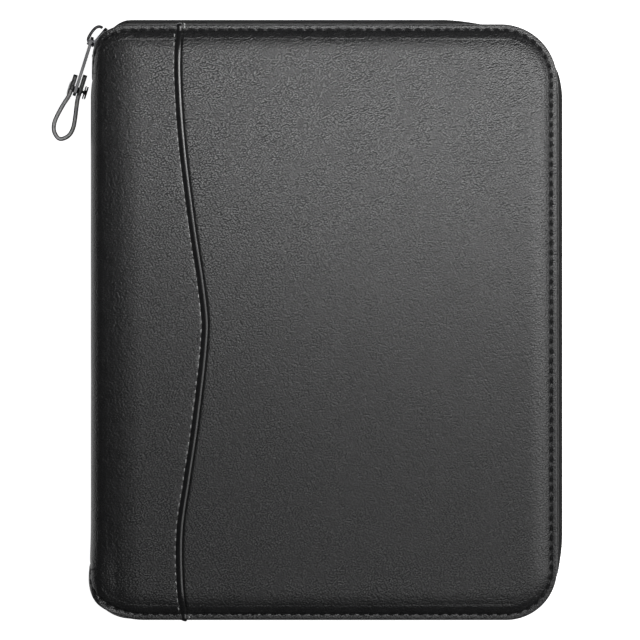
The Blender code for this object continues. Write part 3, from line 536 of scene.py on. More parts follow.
def unit(v):
    v = np.asarray(v, float)
    return v / np.maximum(np.linalg.norm(v, axis=-1, keepdims=True), 1e-12)


def run_along(line):
    """How far along a line each of its points is."""
    return np.concatenate([[0.0], np.cumsum(np.linalg.norm(np.diff(line, axis=0), axis=1))])


def eased(at, a, b, low, high):
    """From low at a to high at b, smoothly."""
    t = np.clip((at - a) / (b - a), 0, 1)
    return low + (high - low) * t * t * (3 - 2 * t)


def circle(n):
    return 2 * pi * np.arange(n) / n


def spokes(n, a, b):
    """Directions all round, in the plane of a and b."""
    return np.outer(np.cos(circle(n)), a) + np.outer(np.sin(circle(n)), b)


def tube(path, radius, sides=8):
    """A round tube along a path, its radius one number or one per point."""
    path = np.asarray(path, float)
    n = len(path)
    radius = np.broadcast_to(np.asarray(radius, float), (n,))
    along = unit(np.gradient(path, axis=0))
    start = np.array([0.0, 0.0, 1.0]) if abs(along[0][2]) < 0.9 else np.array([0.0, 1.0, 0.0])
    side = unit(np.cross(along[0], start))
    rings = []
    for i in range(n):
        side = unit(side - along[i] * side.dot(along[i]))
        rings.append(path[i] + radius[i] * spokes(sides, side, np.cross(along[i], side)))
    return np.concatenate(rings), tube_faces(n, sides)


def smooth_line(points, per=8):
    """A Catmull-Rom curve through points."""
    pts = np.asarray(points, float)
    ext = np.vstack([2 * pts[0] - pts[1], pts, 2 * pts[-1] - pts[-2]])
    out = []
    for i in range(len(pts) - 1):
        p0, p1, p2, p3 = ext[i:i + 4]
        for t in np.arange(per) / per:
            out.append(0.5 * (2 * p1 + (p2 - p0) * t + (2 * p0 - 5 * p1 + 4 * p2 - p3) * t * t
                              + (3 * p1 - p0 - 3 * p2 + p3) * t ** 3))
    return np.vstack(out + [pts[-1]])


def graded(a, b, first=0.5, grow=1.25, most=3.0):
    """Places from a to b, close together at both ends."""
    steps = [first]
    while sum(steps) < (b - a) / 2:
        steps.append(min(steps[-1] * grow, most))
    half = np.cumsum([0.0] + steps)
    half *= (b - a) / 2 / half[-1]
    return np.concatenate([a + half, (b - half[:-1])[::-1]])


LATHE_SIDES = 32


def lathe(at, axis, profile):
    """A piece turned on a level axis: (distance along it, radius) pairs."""
    side = np.cross(axis, UP)
    disc = spokes(LATHE_SIDES, side, np.cross(axis, side))
    points = np.concatenate([at + axis * a + disc * r for a, r in profile])
    return points, tube_faces(len(profile), LATHE_SIDES)


def slab(outline, holes, low, high, put):
    """A flat plate, outline and holes anticlockwise; put(a, b, h) places an outline's point at height h."""
    loops = [list(outline)] + [list(h) for h in holes]
    flat = [p for loop in loops for p in loop]
    tris = tessellate_polygon([[Vector((a, b, 0.0)) for a, b in loop] for loop in loops])
    n = len(flat)
    points = [put(a, b, high) for a, b in flat] + [put(a, b, low) for a, b in flat]
    faces = []
    for t in tris:
        (ax, ay), (bx, by), (cx, cy) = (flat[k] for k in t)
        t = t if (bx - ax) * (cy - ay) - (by - ay) * (cx - ax) > 0 else t[::-1]
        faces += [tuple(t), tuple(n + k for k in reversed(t))]
    base = 0
    for loop in loops:
        for i in range(len(loop)):
            a, b = base + i, base + (i + 1) % len(loop)
            wall = (a, n + a, n + b, b)
            faces.append(wall[::-1] if base else wall)
        base += len(loop)
    return points, faces


def rounded(x0, x1, y0, y1, r, steps=6):
    pts = []
    corners = ((x1 - r, y0 + r, -90), (x1 - r, y1 - r, 0), (x0 + r, y1 - r, 90), (x0 + r, y0 + r, 180))
    for cx, cy, a0 in corners:
        for k in range(steps + 1):
            a = radians(a0 + 90 * k / steps)
            pts.append((cx + r * cos(a), cy + r * sin(a)))
    return pts


def bevelled(obj, width, segments=2):
    mod = obj.modifiers.new("edges", "BEVEL")
    mod.width = width * MM
    mod.segments = segments
    mod.limit_method = "ANGLE"
    mod.angle_limit = radians(40)
    return mod


def stitch_row(points, z, side, pitch, length, radius):
    """Threads along a line of (x, y) points at z, each arching out of a cover's cloth."""
    line = np.array([(x, y, z) for x, y in points])
    s = run_along(line)
    count = max(1, int(s[-1] / pitch))
    step = s[-1] / count
    parts = []
    for k in range(count):
        at = (k + 0.5) * step + CLOTH_RUN * length
        run = np.stack([np.interp(at, s, line[:, j]) for j in range(3)], -1)
        run[:, 2] -= side * CLOTH_ARCH
        parts.append(tube(run, radius, 6))
    return parts


# The leather's shape

def through(points, s):
    """A smooth curve through (place, value) points, at s."""
    pts = sorted(points)
    i = max(k for k in range(len(pts) - 1) if k == 0 or pts[k][0] <= s)
    (a, pa), (b, pb) = pts[i], pts[i + 1]
    before, after = pts[max(i - 1, 0)], pts[min(i + 2, len(pts) - 1)]
    slope_a = (pb - before[1]) / (b - before[0])
    slope_b = (after[1] - pa) / (after[0] - a)
    t, span = (s - a) / (b - a), b - a
    return (pa * (1 + 2 * t) * (1 - t) ** 2 + slope_a * span * t * (1 - t) ** 2
            + pb * t * t * (3 - 2 * t) + slope_b * span * t * t * (t - 1))


WAVE_YS = np.linspace(-HALF_H - 1, HALF_H + 1, 485)
WAVE_XS = np.array([-HALF_W + through(WAVE, float(np.clip(y, -HALF_H, HALF_H))) for y in WAVE_YS])


def wave_x(y):
    return np.interp(y, WAVE_YS, WAVE_XS)


def wrap(u, y, h, side):
    """Flat leather (u across, y up the page, h out of the face) laid over a cover and round the spine."""
    u, y, h = np.broadcast_arrays(*(np.asarray(a, float) for a in (u, y, h)))
    run = ROLL_X - u
    roll = np.clip(run / ROLL_R, 0, ROLL_TURN)
    turn = roll + np.clip(run - ROLL_RUN, 0, FOLD_RUN) / FOLD_R
    down = np.clip(run - ROLL_RUN - FOLD_RUN, 0, None)
    (sr, cr), (st, ct) = ((np.sin(a), np.cos(a)) for a in (roll, turn))
    x = np.maximum(u, ROLL_X) - ROLL_R * sr - FOLD_R * (st - sr) - h * st
    z = MID - ROLL_R * (1 - cr) - FOLD_R * (cr - ct) - down + h * ct
    return np.stack([x, y, MID + side * z], -1)


def edge_distance(u, y):
    """How far in from the leather's edge a place is."""
    up = np.abs(y)
    d = np.minimum(HALF_W - u, HALF_H - up)
    for sign, fore, spine in CORNERS:
        for (across, rise), centre, way in ((fore, HALF_W - fore[0], 1), (spine, FLAT_LEFT + spine[0], -1)):
            a, b = (u - centre) * way / across, (up - HALF_H + rise) / rise
            q = np.maximum(np.hypot(a, b), 1e-6)
            inside = (1 - q) * q / np.hypot(a / across, b / rise).clip(1e-9)
            d = np.where((y * sign >= 0) & (a > 0) & (b > 0), inside, d)
    end = np.hypot(np.maximum(u - FLAT_LEFT, 0), up - SPINE_HALF)
    return np.where(up <= SPINE_HALF, np.minimum(d, end), d)


def pad_drop(u):
    """How far the stitch line lies below the padding, less where the leather folds round the spine."""
    return DROP * eased(u, *THIN)


def rim_height(d, u):
    """Height of the leather at d in from its edge, without stitches."""
    pad = -pad_drop(u) * (1 - np.clip((d - STITCH_AT) / SWELL, 0, 1)) ** 3
    return pad + RIM_RISE * np.maximum(1 - ((d - RIM_MID) / RIM_HALF) ** 4, 0)


def stitch_dip(d, phase):
    """The holes that the thread pulls into the leather, one for each turn of phase."""
    pull = (0.5 - 0.5 * np.cos(phase)) ** 2
    return -(SEAM_DIP + HOLE_DIP * pull) * np.exp(-((d - STITCH_AT) / DIP_W) ** 2)


def heel(u, y):
    """How far the leather stands out where the spine's seam ends at the bottom."""
    return HEEL * np.exp(-((y - HEEL_Y) / HEEL_RUN) ** 2) * np.clip((HEEL_FROM - u) / HEEL_OVER, 0, 1)


def lip(u, y):
    """How far the rim's edge turns up at the bottom spine corner."""
    return LIP * np.exp(-((u - LIP_U) / LIP_RUN) ** 2) * (y < -SPINE_HALF)


def unevenness(u, y):
    """The heel, and slow hills of a few hundredths of a millimetre."""
    hills = 0.016 * np.sin(u / 17.0 + 1.3) * np.sin(y / 23.0 + 0.4)
    return heel(u, y) + hills + 0.008 * np.sin(u / 9.1 + y / 12.7) + 0.005 * np.sin(y / 6.3 - u / 11.0)


def main_height(u, y):
    tuck = MAIN_TUCK * np.exp(-np.maximum(u - wave_x(y), 0) / MAIN_FADE)
    return rim_height(edge_distance(u, y), u) + unevenness(u, y) - tuck


def side_height(u, y):
    gap = np.maximum(wave_x(y) - STRIP_W - u, 0)
    tuck = STRIP_TUCK + STRIP_PUCKER * np.cos(2 * pi * y / TICK_PITCH)
    return rim_height(edge_distance(u, y), u) + unevenness(u, y) - tuck * np.exp(-gap / STRIP_FADE)


def back_height(u, y):
    return rim_height(edge_distance(u, y), u) + np.minimum(unevenness(u, y), 0.0)


def leather_grid(u, y, height, side):
    """Points, faces and true normals of one patch of leather over the places u, y."""
    step = 0.02

    def at(du, dy):
        return wrap(u + du, y + dy, height(u + du, y + dy), side)

    across = at(step, 0) - at(-step, 0)
    up = at(0, step) - at(0, -step)
    normals = unit(np.cross(across, up)) * side
    rows, cols = u.shape
    return at(0, 0).reshape(-1, 3), grid_faces(rows, cols, side < 0), normals.reshape(-1, 3)


def leather_piece(name, grids):
    points, faces = joined([grid[:2] for grid in grids])
    normals = np.concatenate([grid[2] for grid in grids])
    return piece(name, points, faces, LEATHER, "black_leather", normals=normals)


def rows_between(y0, y1, left, right, cols, height, side, first=0.5):
    ys = graded(y0, y1, first)
    u = np.array([left(y) + (right(y) - left(y)) * cols for y in ys])
    return leather_grid(u, np.repeat(ys[:, None], len(cols), 1), height, side)


def outline(step=0.5):
    """The leather's flat edge from mid spine round by the top: places and inward directions."""
    halves = []
    for sign, fore, spine in CORNERS:
        rows = [(u, SPINE_HALF, 0.0, -1.0) for u in np.arange(MID_SPINE, FLAT_LEFT, step)]
        turns = np.radians(np.linspace(-90, 0, 8))
        rows += [(FLAT_LEFT, SPINE_HALF, cos(a), sin(a)) for a in turns]
        left, right = FLAT_LEFT + spine[0], HALF_W - fore[0]
        for cx, (across, rise), a0, a1 in ((left, spine, 180, 90), (right, fore, 90, 0)):
            for a in np.radians(np.arange(a0, a1, -degrees(step / rise))):
                nx, ny = unit((cos(a) / across, sin(a) / rise))
                rows.append((cx + across * cos(a), HALF_H - rise + rise * sin(a), -nx, -ny))
            if cx == left:
                rows += [(u, HALF_H, 0.0, -1.0) for u in np.arange(left, right, step)]
        rows += [(HALF_W, y, -1.0, 0.0) for y in np.arange(HALF_H - fore[1], 0, -step)]
        halves.append(np.array(rows) * np.array([1.0, sign, 1.0, sign]))
    return np.vstack([halves[0], [[HALF_W, 0.0, -1.0, 0.0]], halves[1][::-1]])


def inner_edge(path):
    """The line where rim and panels meet, as (y, u) rows of its spine and fore sides, by rising y."""
    inner = path[:, :2] + path[:, 2:] * RIM_W
    inner = inner[path[:, 0] >= FLAT_LEFT - 1e-9]
    sides = []
    for side in (inner[inner[:, 0] < 0], inner[inner[:, 0] > 0]):
        sides.append(side[np.argsort(side[:, 1])][:, ::-1])
    return sides


SPINE_EDGE, FORE_EDGE = inner_edge(outline())


def panel_right(y):
    return np.interp(y, *FORE_EDGE.T)


def panel_left(y):
    return np.interp(y, *SPINE_EDGE[SPINE_EDGE[:, 0] * y > 0].T)


def strip_left(y):
    return wave_x(y) - STRIP_W


def columns(width, *steps):
    """Shares across a panel about so wide, close together at both sides."""
    return graded(0.0, width, *steps) / width


def spine_panel(name, cols, right, height, side, first=0.5):
    """A panel that goes on round the spine between its two ends."""
    grids = [rows_between(-SPINE_IN, SPINE_IN, lambda y: MID_SPINE, right, cols, height, side, first)]
    grids += [rows_between(low, high, panel_left, right, cols, height, side) for low, high in PANEL_ENDS]
    return leather_piece(name, grids)


def make_panels():
    cols = columns(132.0, 0.2)
    grid = rows_between(-INNER_H, INNER_H, wave_x, panel_right, cols, main_height, 1)
    front = leather_piece("front_panel", [grid])
    ride(front, "front_cover", "front_skin", "front_foam_pad")
    cols = columns(60.0, 0.3, 1.25, 2.0)
    spine_side = spine_panel("spine_side_panel", cols, strip_left, side_height, 1, 0.8)
    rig.replaces(spine_side, "spine_side_skin", "front_hinge_strip", "spine_skin")
    back = spine_panel("back_panel", columns(190.0), panel_right, back_height, -1)
    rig.replaces(back, "back_skin", "back_foam_pad", "back_hinge_strip")
    for panel in (front, spine_side, back):
        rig.padded(panel, fill=0.6)
    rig.blend(spine_side, *FOLDS[1])
    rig.blend(back, *FOLDS[-1])


def make_rim(prefix, side):
    """The turned edge of a cover's leather, and its stitches."""
    front = side > 0
    path = outline()
    edge_u, edge_y, in_u, in_y = (path[:, k:k + 1] for k in range(4))
    run = run_along(path[:, :2] + path[:, 2:] * STITCH_AT)
    count = int(run[-1] / STITCH_PITCH)
    phase = 2 * pi * run / (run[-1] / count)
    u, y = edge_u + in_u * RIM_DS, edge_y + in_y * RIM_DS
    if front:
        shape = np.where(u > wave_x(y) - STRIP_W / 2, main_height(u, y), side_height(u, y))
    else:
        shape = back_height(u, y)
    plain = rim_height(RIM_DS, u) + unevenness(u, y) * front
    share = np.interp(RIM_DS, RIM_BLEND, (0, 1))
    shape = plain + (shape - plain) * share + stitch_dip(RIM_DS, phase[:, None])
    shape[:, 0] -= RIM_TUCK
    turned_up = lip(edge_u, edge_y) * front
    shape += turned_up * np.clip((LIP_IN - RIM_DS) / (LIP_IN - RIM_DS[-1]), 0, 1)
    top = -pad_drop(edge_u) + heel(edge_u, edge_y) * front + turned_up
    low = -np.interp(edge_u, *RIM_DEPTH)
    h = np.hstack([shape, top + WALL_TOP, (top + WALL_TOP[-1] + low) / 2, low + WALL_ROUND, low, low])
    u = np.hstack([u, edge_u + in_u * WALL_DS])
    y = np.hstack([y, edge_y + in_y * WALL_DS])
    points = wrap(u, y, h, side)
    normals = unit(np.cross(np.gradient(points, axis=0), np.gradient(points, axis=1))) * side
    faces = grid_faces(*u.shape, front)
    rim = piece(prefix + "_rim", points, faces, LEATHER, "black_leather", normals=normals)
    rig.blend(rim, *FOLDS[side])
    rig.replaces(rim, prefix + "_edge_binding")
    threads = []
    for k in range(count):
        at = (k + 0.5) / count * run[-1] + STITCH_RUN * STITCH_LENGTH
        eu, ey, du, dy = (np.interp(at, run, path[:, j]) for j in range(4))
        su, sy = eu + du * (STITCH_AT + STITCH_LEAN), ey + dy * (STITCH_AT + STITCH_LEAN)
        sh = heel(su, sy) * front - pad_drop(su) + STITCH_ARCH
        threads.append(tube(wrap(su, sy, sh, side), STITCH_RADII, 6))
    stitches = piece(prefix + "_stitches", *joined(threads), THREAD, "black_leather")
    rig.blend(stitches, *FOLDS[side])


def make_wave_strip():
    """The rolled strip along the wave, turned over the cover's edges, with its stitches and knots."""
    ys = np.arange(-HALF_H + 9.0, HALF_H - 8.5, 1.0)
    ys = np.concatenate([-HALF_H + STRIP_ENDS[::-1], ys, HALF_H - STRIP_ENDS])
    h = rim_height(HALF_H - np.abs(ys), 0.0)
    past, sunk = STRIP_OVER.T
    ys = np.concatenate([-HALF_H + past[::-1], ys, HALF_H - past])
    h = np.concatenate([sunk[::-1], h, sunk])
    level = np.ones((len(ys), 1))
    level[:len(past)] = level[-len(past):] = 0.0
    across, rise = STRIP_BEAD.T
    u = wave_x(ys)[:, None] - STRIP_W + across
    y = ys[:, None] + (1 - level) * np.sign(ys)[:, None] * rise
    points = wrap(u, y, h[:, None] + level * rise + unevenness(u, y), 1)
    strip = piece("wave_strip", points, grid_faces(*u.shape), PIPING, "black_leather")
    ride(strip, "front_cover", "wave_binding")
    threads = []
    for middle in np.arange(-HALF_H + 4.5, HALF_H - 4.0, TICK_PITCH):
        y = middle + STITCH_RUN * TICK_LENGTH
        u = wave_x(y) - STRIP_W - TICK_OFF
        threads.append(tube(wrap(u, y, side_height(u, y) + TICK_ARCH, 1), TICK_RADII, 8))
    for way, y in KNOTS_AT:
        knot = [(wave_x(y) + a, y + way * b, z) for a, b, z in KNOT]
        threads.append(tube(smooth_line(knot, 4), KNOT_R, 6))
    # The ticks and knots take the light grey thread: painted highlight
    ride(piece("wave_stitches", *joined(threads), GLINT_PAINTED_THREAD, "black_leather"), "front_cover")


# The zip

def fore_bulge(y):
    if y < 0:
        return eased(y, *LOW_EASE, CORNER_BULGE, ZIP_BULGE)
    return eased(y, *HIGH_EASE, ZIP_BULGE, CORNER_BULGE)


def zip_line(bottom_end, top_end, step=0.6):
    """Rows of place, outward direction and bulge along the zip, bottom left round to top left."""
    right, top = HALF_W - ZIP_INSET, HALF_H - ZIP_INSET
    rows = []

    def bend(cx, cy, r, a0, a1, bulge, last=False):
        for a in np.linspace(a0, a1, max(2, int(abs(radians(a1 - a0)) * r / step)), endpoint=last):
            c, d = cos(radians(a)), sin(radians(a))
            rows.append((cx + r * c, cy + r * d, c, d, bulge(a)))

    def run(a, b, nx, ny, bulge):
        for t in np.arange(0, 1, step / dist(a, b)):
            x, y = a[0] + (b[0] - a[0]) * t, a[1] + (b[1] - a[1]) * t
            rows.append((x, y, nx, ny, bulge(x, y)))

    def top_left(a):
        return eased(a, *LEFT_EASE, TOP_BULGE, 0.0)

    def fore_corner(centre, r):
        return lambda a: fore_bulge(centre + r * sin(radians(a)))

    if bottom_end is not None:
        low, high = LOW_FORE[0], TOP_FORE[0]
        low_y, high_y = low - HALF_H, HALF_H - high
        bend(LOW_LEFT_X, LOW_LEFT_Y, LOW_LEFT_R, 360 - bottom_end, 270, lambda a: LOW_BULGE)
        run((LOW_LEFT_X, -top), (HALF_W - low, -top), 0, -1,
            lambda x, y: eased(x, *FLOOR_EASE, LOW_BULGE, CORNER_BULGE))
        bend(HALF_W - low, low_y, low - ZIP_INSET, -90, 0, fore_corner(low_y, low))
        run((right, low_y), (right, high_y), 1, 0, lambda x, y: fore_bulge(y))
        bend(HALF_W - high, high_y, high - ZIP_INSET, 0, 90, fore_corner(high_y, high))
        run((HALF_W - high, top), (ZIP_LEFT_X, top), 0, 1,
            lambda x, y: eased(x, *TOP_EASE, CORNER_BULGE, TOP_BULGE))
        bend(ZIP_LEFT_X, ZIP_LEFT_Y, ZIP_LEFT_R, 90, top_end, top_left, True)
    else:
        bend(ZIP_LEFT_X, ZIP_LEFT_Y, ZIP_LEFT_R, *top_end, top_left)
    return np.array(rows)


def tape_piece(name, line, side, low=TAPE_LOW):
    t = np.linspace(0, 1, 9)
    t = np.concatenate([t, t[::-1]])
    z = MID + side * (low + (TAPE_HIGH - low) * t)
    off = np.repeat([TAPE_HALF, -TAPE_HALF], 9) - TAPE_LEAN * t + line[:, 4:5] * eased(t, 0, 1, 1, 0)
    x, y = (line[:, k:k + 1] + line[:, k + 2:k + 3] * off for k in (0, 1))
    points = np.stack([x, y, np.broadcast_to(z, off.shape)], -1)
    faces = [f[::-side] for f in tube_faces(*off.shape)]
    obj = piece(name, points, faces, TAPE, "zip_tape")
    length = float(run_along(line[:, :2])[-1])
    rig.sheet(obj, flat=((TAPE_HIGH - low) * MM, length * MM), held="stretched",
             rests_on=["front_rim" if side > 0 else "back_rim"])
    return obj


def tape_cord(name, line, side):
    """The thin cord woven into a tape, along the edge of the leather."""
    share = eased(CORD_AT, 0, 1, 1, 0)
    off = TAPE_HALF - TAPE_LEAN * CORD_AT + line[:, 4:5] * share + CORD_PROUD
    z = MID + side * (TAPE_LOW + (TAPE_HIGH - TAPE_LOW) * CORD_AT)
    path = np.hstack([line[:, :2] + line[:, 2:4] * off, np.full((len(line), 1), z)])
    return piece(name, *tube(path, CORD_R, 8), PIPING, "zip_tape")


def coil_piece(name, line, side, phase):
    s = run_along(line[:, :2])
    n = int(s[-1] / COIL_PITCH * COIL_STEPS)
    at = np.linspace(0, s[-1], n)
    turn = 2 * pi * (s[-1] - at) / COIL_PITCH + phase
    x, y, nx, ny, swell = (np.interp(at, s, line[:, k]) for k in range(5))
    normal = unit(np.stack([nx, ny, 0 * nx], -1))
    radial_n, radial_z = np.cos(turn), np.sin(turn)
    path = np.stack([x, y, 0 * x], -1) + normal * (swell - COIL_IN + COIL_W * radial_n)[:, None]
    path[:, 2] = MID + side * (COIL_MID + COIL_H * radial_z)
    radial = unit(normal * (radial_n / COIL_W)[:, None] + np.outer(side * radial_z / COIL_H, (0, 0, 1)))
    along = unit(np.gradient(path, axis=0))
    radial = unit(radial - along * np.sum(radial * along, -1, keepdims=True))
    other = np.cross(along, radial)
    turns = circle(COIL_SIDES)[:, None]
    rings = path[:, None] + COIL_WIRE * (radial[:, None] * np.cos(turns) + other[:, None] * np.sin(turns))
    return piece(name, rings, tube_faces(n, COIL_SIDES), COIL, "zip_coil")


def make_zip():
    fronts, backs = zip_line(FRONT_END, TOP_END), zip_line(BACK_END, TOP_END)
    tail = zip_line(None, (TOP_END, TAIL_END))
    ride(tape_piece("front_tape", fronts, 1), "front_cover", "front_zip_tape")
    ride(tape_cord("front_tape_cord", fronts, 1), "front_cover")
    ride(tape_cord("back_tape_cord", backs, -1), "back_cover")
    ride(tape_piece("back_tape", backs, -1), "back_cover", "back_zip_tape")
    ride(coil_piece("front_coil", fronts, 1, 0.0), "front_cover", "front_zip_coil")
    ride(coil_piece("back_coil", backs, -1, pi), "back_cover", "back_zip_coil")
    ends = ((tape_piece("back_tail", tail, -1), "back_cover", "back_gusset_tail"),
            (coil_piece("coil_end", tail, -1, pi), "back_cover", "back_coil_end"),
            (tape_piece("front_tail", tail, 1, TAIL_LOW), "front_cover", "front_gusset_tail"))
    for obj, cover, node in ends:
        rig.blend(obj, cover, "spine", *TAIL_BLEND)
        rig.replaces(obj, node)


def axes(turn):
    """A direction in the page, and the one a quarter turn on."""
    c, s = cos(radians(turn)), sin(radians(turn))
    return np.array([c, s, 0.0]), np.array([-s, c, 0.0])


# Slider, by (back along the zip, up, out of the plate): outline, lowest and highest place of each block
OUT, BACK_ALONG = axes(140.0)
UP = np.array([0.0, 0.0, 1.0])
PLATE_R = 17.05
PLATE_MID = np.array([ZIP_LEFT_X, ZIP_LEFT_Y, MID]) + OUT * PLATE_R
SLIDER_PLATE = (-5.0, 4.6, -4.2, 4.2, 1.7)
SLIDER_BLOCKS = ((SLIDER_PLATE, -0.45, 0.65), ((1.9, 5.1, -1.5, 1.5, 0.6, 4), 0.6, 2.3),
                 (SLIDER_PLATE, -4.85, -3.95), ((2.4, 4.0, -0.3, 0.3, 0.25, 3), -4.0, -0.4),
                 ((-4.2, 3.9, -4.1, -3.4, 0.3, 3), -0.9, -0.4), ((-4.2, 3.9, 3.4, 4.1, 0.3, 3), -0.9, -0.4))
HOOK = ((3.9, 0.2), (4.0, 1.5), (3.6, 2.6), (2.7, 3.25), (0.6, 3.65), (-1.4, 3.75), (-3.0, 3.3), (-3.8, 2.4),
        (-3.9, 1.4))
HOOK_R = 0.62
HOOK_TAPER = ((0, 1, 3), (0.45, 0.8, 1.0))

# Pull, by (down the tab, across it)
DOWN, ACROSS = axes(252.5)
TAB_BAR = PLATE_MID + BACK_ALONG * 1.8 + OUT * 2.05
TAB_LENGTH = 22.0
TAB_PLATE = (-0.4, 24.6, -2.5, 2.5, 1.4)
TAB_WINDOW = (0.4, 4.1, -1.0, 1.0, 0.4, 3)
TAB_EYE_R = 1.6
TAB_HALF = 0.6
RIVET = TAB_BAR + DOWN * TAB_LENGTH
STRAP = ((-6.8, 1.85), (0.0, 1.85), (3.2, 1.8), (7.0, 2.4), (11.0, 3.15), (15.0, 3.6), (18.2, 3.0),
         (20.2, 1.3), (20.9, -0.3), (20.2, -1.9), (18.2, -3.6), (15.0, -4.3), (11.0, -3.85),
         (7.0, -3.0), (3.2, -2.0), (0.0, -1.85), (-5.8, -1.85))
STRAP_SECTION = (-0.8, 0.8, -4.0, 4.0, 0.42, 4)
STRAP_FLAT = 3.99
# Rows at each end of the strap where its cut edge takes the black leather instead of grey: painted shade
STRAP_SHADE_PAINTED_ENDS = 8
RIVET_HEAD = 2.7
RIVET_POST = ((-0.75, 0.2), (-0.72, 1.6), (-0.55, 2.5), (-0.3, 2.9), (-0.05, 2.9), (0.0, 2.6), (0.0, 1.3),
              (2 * RIVET_HEAD - 0.3, 1.3))
# Rings of the rivet head that take the pale nickel, its painted highlight
PALE_RINGS = 5
RIVET_CAP = ((-0.2, 1.3), (0.0, 1.3), (0.0, 0.6), (0.65, 0.6), (0.65, 2.6), (0.7, 2.75), (1.05, 2.75),
             (1.1, 2.6), (1.1, 0.9), (1.4, 0.9), (1.4, 2.5), (1.45, 2.6), (1.95, 2.6), (2.0, 2.5), (2.0, 0.2))


def placed(at, along, out):
    return lambda a, b, h: at + along * a + UP * b + out * h


def make_slider():
    put = placed(PLATE_MID, BACK_ALONG, OUT)
    blocks = [slab(rounded(*shape), [], low, high, put) for shape, low, high in SLIDER_BLOCKS]
    body = piece("slider", *joined(blocks), DARK_METAL, "dark_metal", smooth=False)
    bevelled(body, 0.22, 3)
    ride(body, "zip_slider", "zip_slider")
    line = smooth_line([PLATE_MID + BACK_ALONG * t + OUT * n for t, n in HOOK])
    ends = np.minimum(np.arange(len(line)), np.arange(len(line))[::-1])
    wire = tube(line, HOOK_R * np.interp(ends, *HOOK_TAPER), 12)
    ride(piece("slider_hook", *wire, DARK_METAL, "dark_metal"), "zip_slider")


def make_pull():
    put = placed(TAB_BAR, DOWN, ACROSS)
    eye = [(TAB_LENGTH + TAB_EYE_R * cos(a), TAB_EYE_R * sin(a)) for a in circle(24)]
    plate = slab(rounded(*TAB_PLATE), [rounded(*TAB_WINDOW), eye], -TAB_HALF, TAB_HALF, put)
    tab = piece("tab", *plate, [GUNMETAL, ENAMEL_AND_EDGE_SHADE], "nickel", smooth=False)
    # The tab's bevelled edges take the black: painted shade on its metal edges
    bevelled(tab, 0.34, 3).material = 1
    ride(tab, "pull_tab", "pull_tab")
    line = smooth_line([RIVET + DOWN * s + ACROSS * w for s, w in STRAP], 6)
    out = np.cross(UP, unit(np.gradient(line, axis=0)))
    section = np.array(rounded(*STRAP_SECTION))
    rings = line[:, None] + out[:, None] * section[None, :, :1] + UP * section[None, :, 1:]
    n, m = rings.shape[:2]
    flat = np.abs(section[:, 1]) > STRAP_FLAT
    row = np.arange(n - 1)
    # Near both ends the cut edge keeps the black leather: painted shade
    cut = np.outer((row > STRAP_SHADE_PAINTED_ENDS) & (row < n - STRAP_SHADE_PAINTED_ENDS), flat & np.roll(flat, -1))
    index = [*cut.ravel(), 0, 0]
    strap = piece("strap", rings, tube_faces(n, m), [LEATHER, CUT_EDGE], "black_leather", indices=index)
    ride(strap, "pull_strap", "pull_strap")
    points, faces = lathe(RIVET - ACROSS * RIVET_HEAD, ACROSS, RIVET_POST)
    # The head's outer rings take the pale nickel, painted highlight; the rest keep the dark metal
    index = [0 if f[0] < LATHE_SIDES * PALE_RINGS else 1 for f in faces[:-2]] + [0, 1]
    rivet = piece("rivet", points, faces, [NICKEL_PAINTED_HIGHLIGHT, DARK_METAL], "nickel", indices=index)
    ride(rivet, "pull_strap", "rivet_post")
    cap = lathe(RIVET + ACROSS * RIVET_HEAD, ACROSS, RIVET_CAP)
    ride(piece("rivet_button", *cap, ENAMEL_AND_EDGE_SHADE, "nickel"), "pull_strap", "rivet_cap")


# Ring mechanism
RING_X = -68.5
RING_R = 14.0
RING_YS = (-73.0, -54.0, -35.0, 35.0, 54.0, 73.0)
RING_ARC = (0.6, 115.0)
RING_ROOT = (-86.4, 8.0)
RING_WIRE = 1.3
RING_TIP = 1.05


def make_rings():
    turns = np.radians(np.linspace(*RING_ARC, 40))
    for prefix, side in COVERS:
        parts = []
        for y in RING_YS:
            path = [(RING_X + RING_R * cos(a), y, MID + side * RING_R * sin(a)) for a in turns]
            path.append((RING_ROOT[0], y, MID + side * RING_ROOT[1]))
            parts.append(tube(path, [RING_TIP] + [RING_WIRE] * (len(path) - 1), 16))
        rings = piece(prefix + "_ring_wires", *joined(parts), NICKEL, "nickel")
        ride(rings, prefix + "_rings", *(prefix + "_ring_" + str(k) for k in range(1, 7)))


# Pages: bundles of sheets, a little out of line
PAGE_X = (-63.3, 84.5)
PAGE_HALF = 104.75
PAGE_T = 7.7
PAGE_GAP = 0.15
PAGE_CORNER = 3.0
BUNDLES = 14
BUNDLE_SHARE = 0.86
JOG_X = 0.22
JOG_Y = 0.25
HOLE_R = 2.75
HOLE_RUN = 3.2


def punched(x, y):
    """A hole, long enough for the ring to open in it."""
    half = pi * np.arange(9) / 8
    ends = [(x, a + pi / 2) for a in half] + [(x + HOLE_RUN, a - pi / 2) for a in half]
    return [(cx + HOLE_R * cos(a), y + HOLE_R * sin(a)) for cx, a in ends]


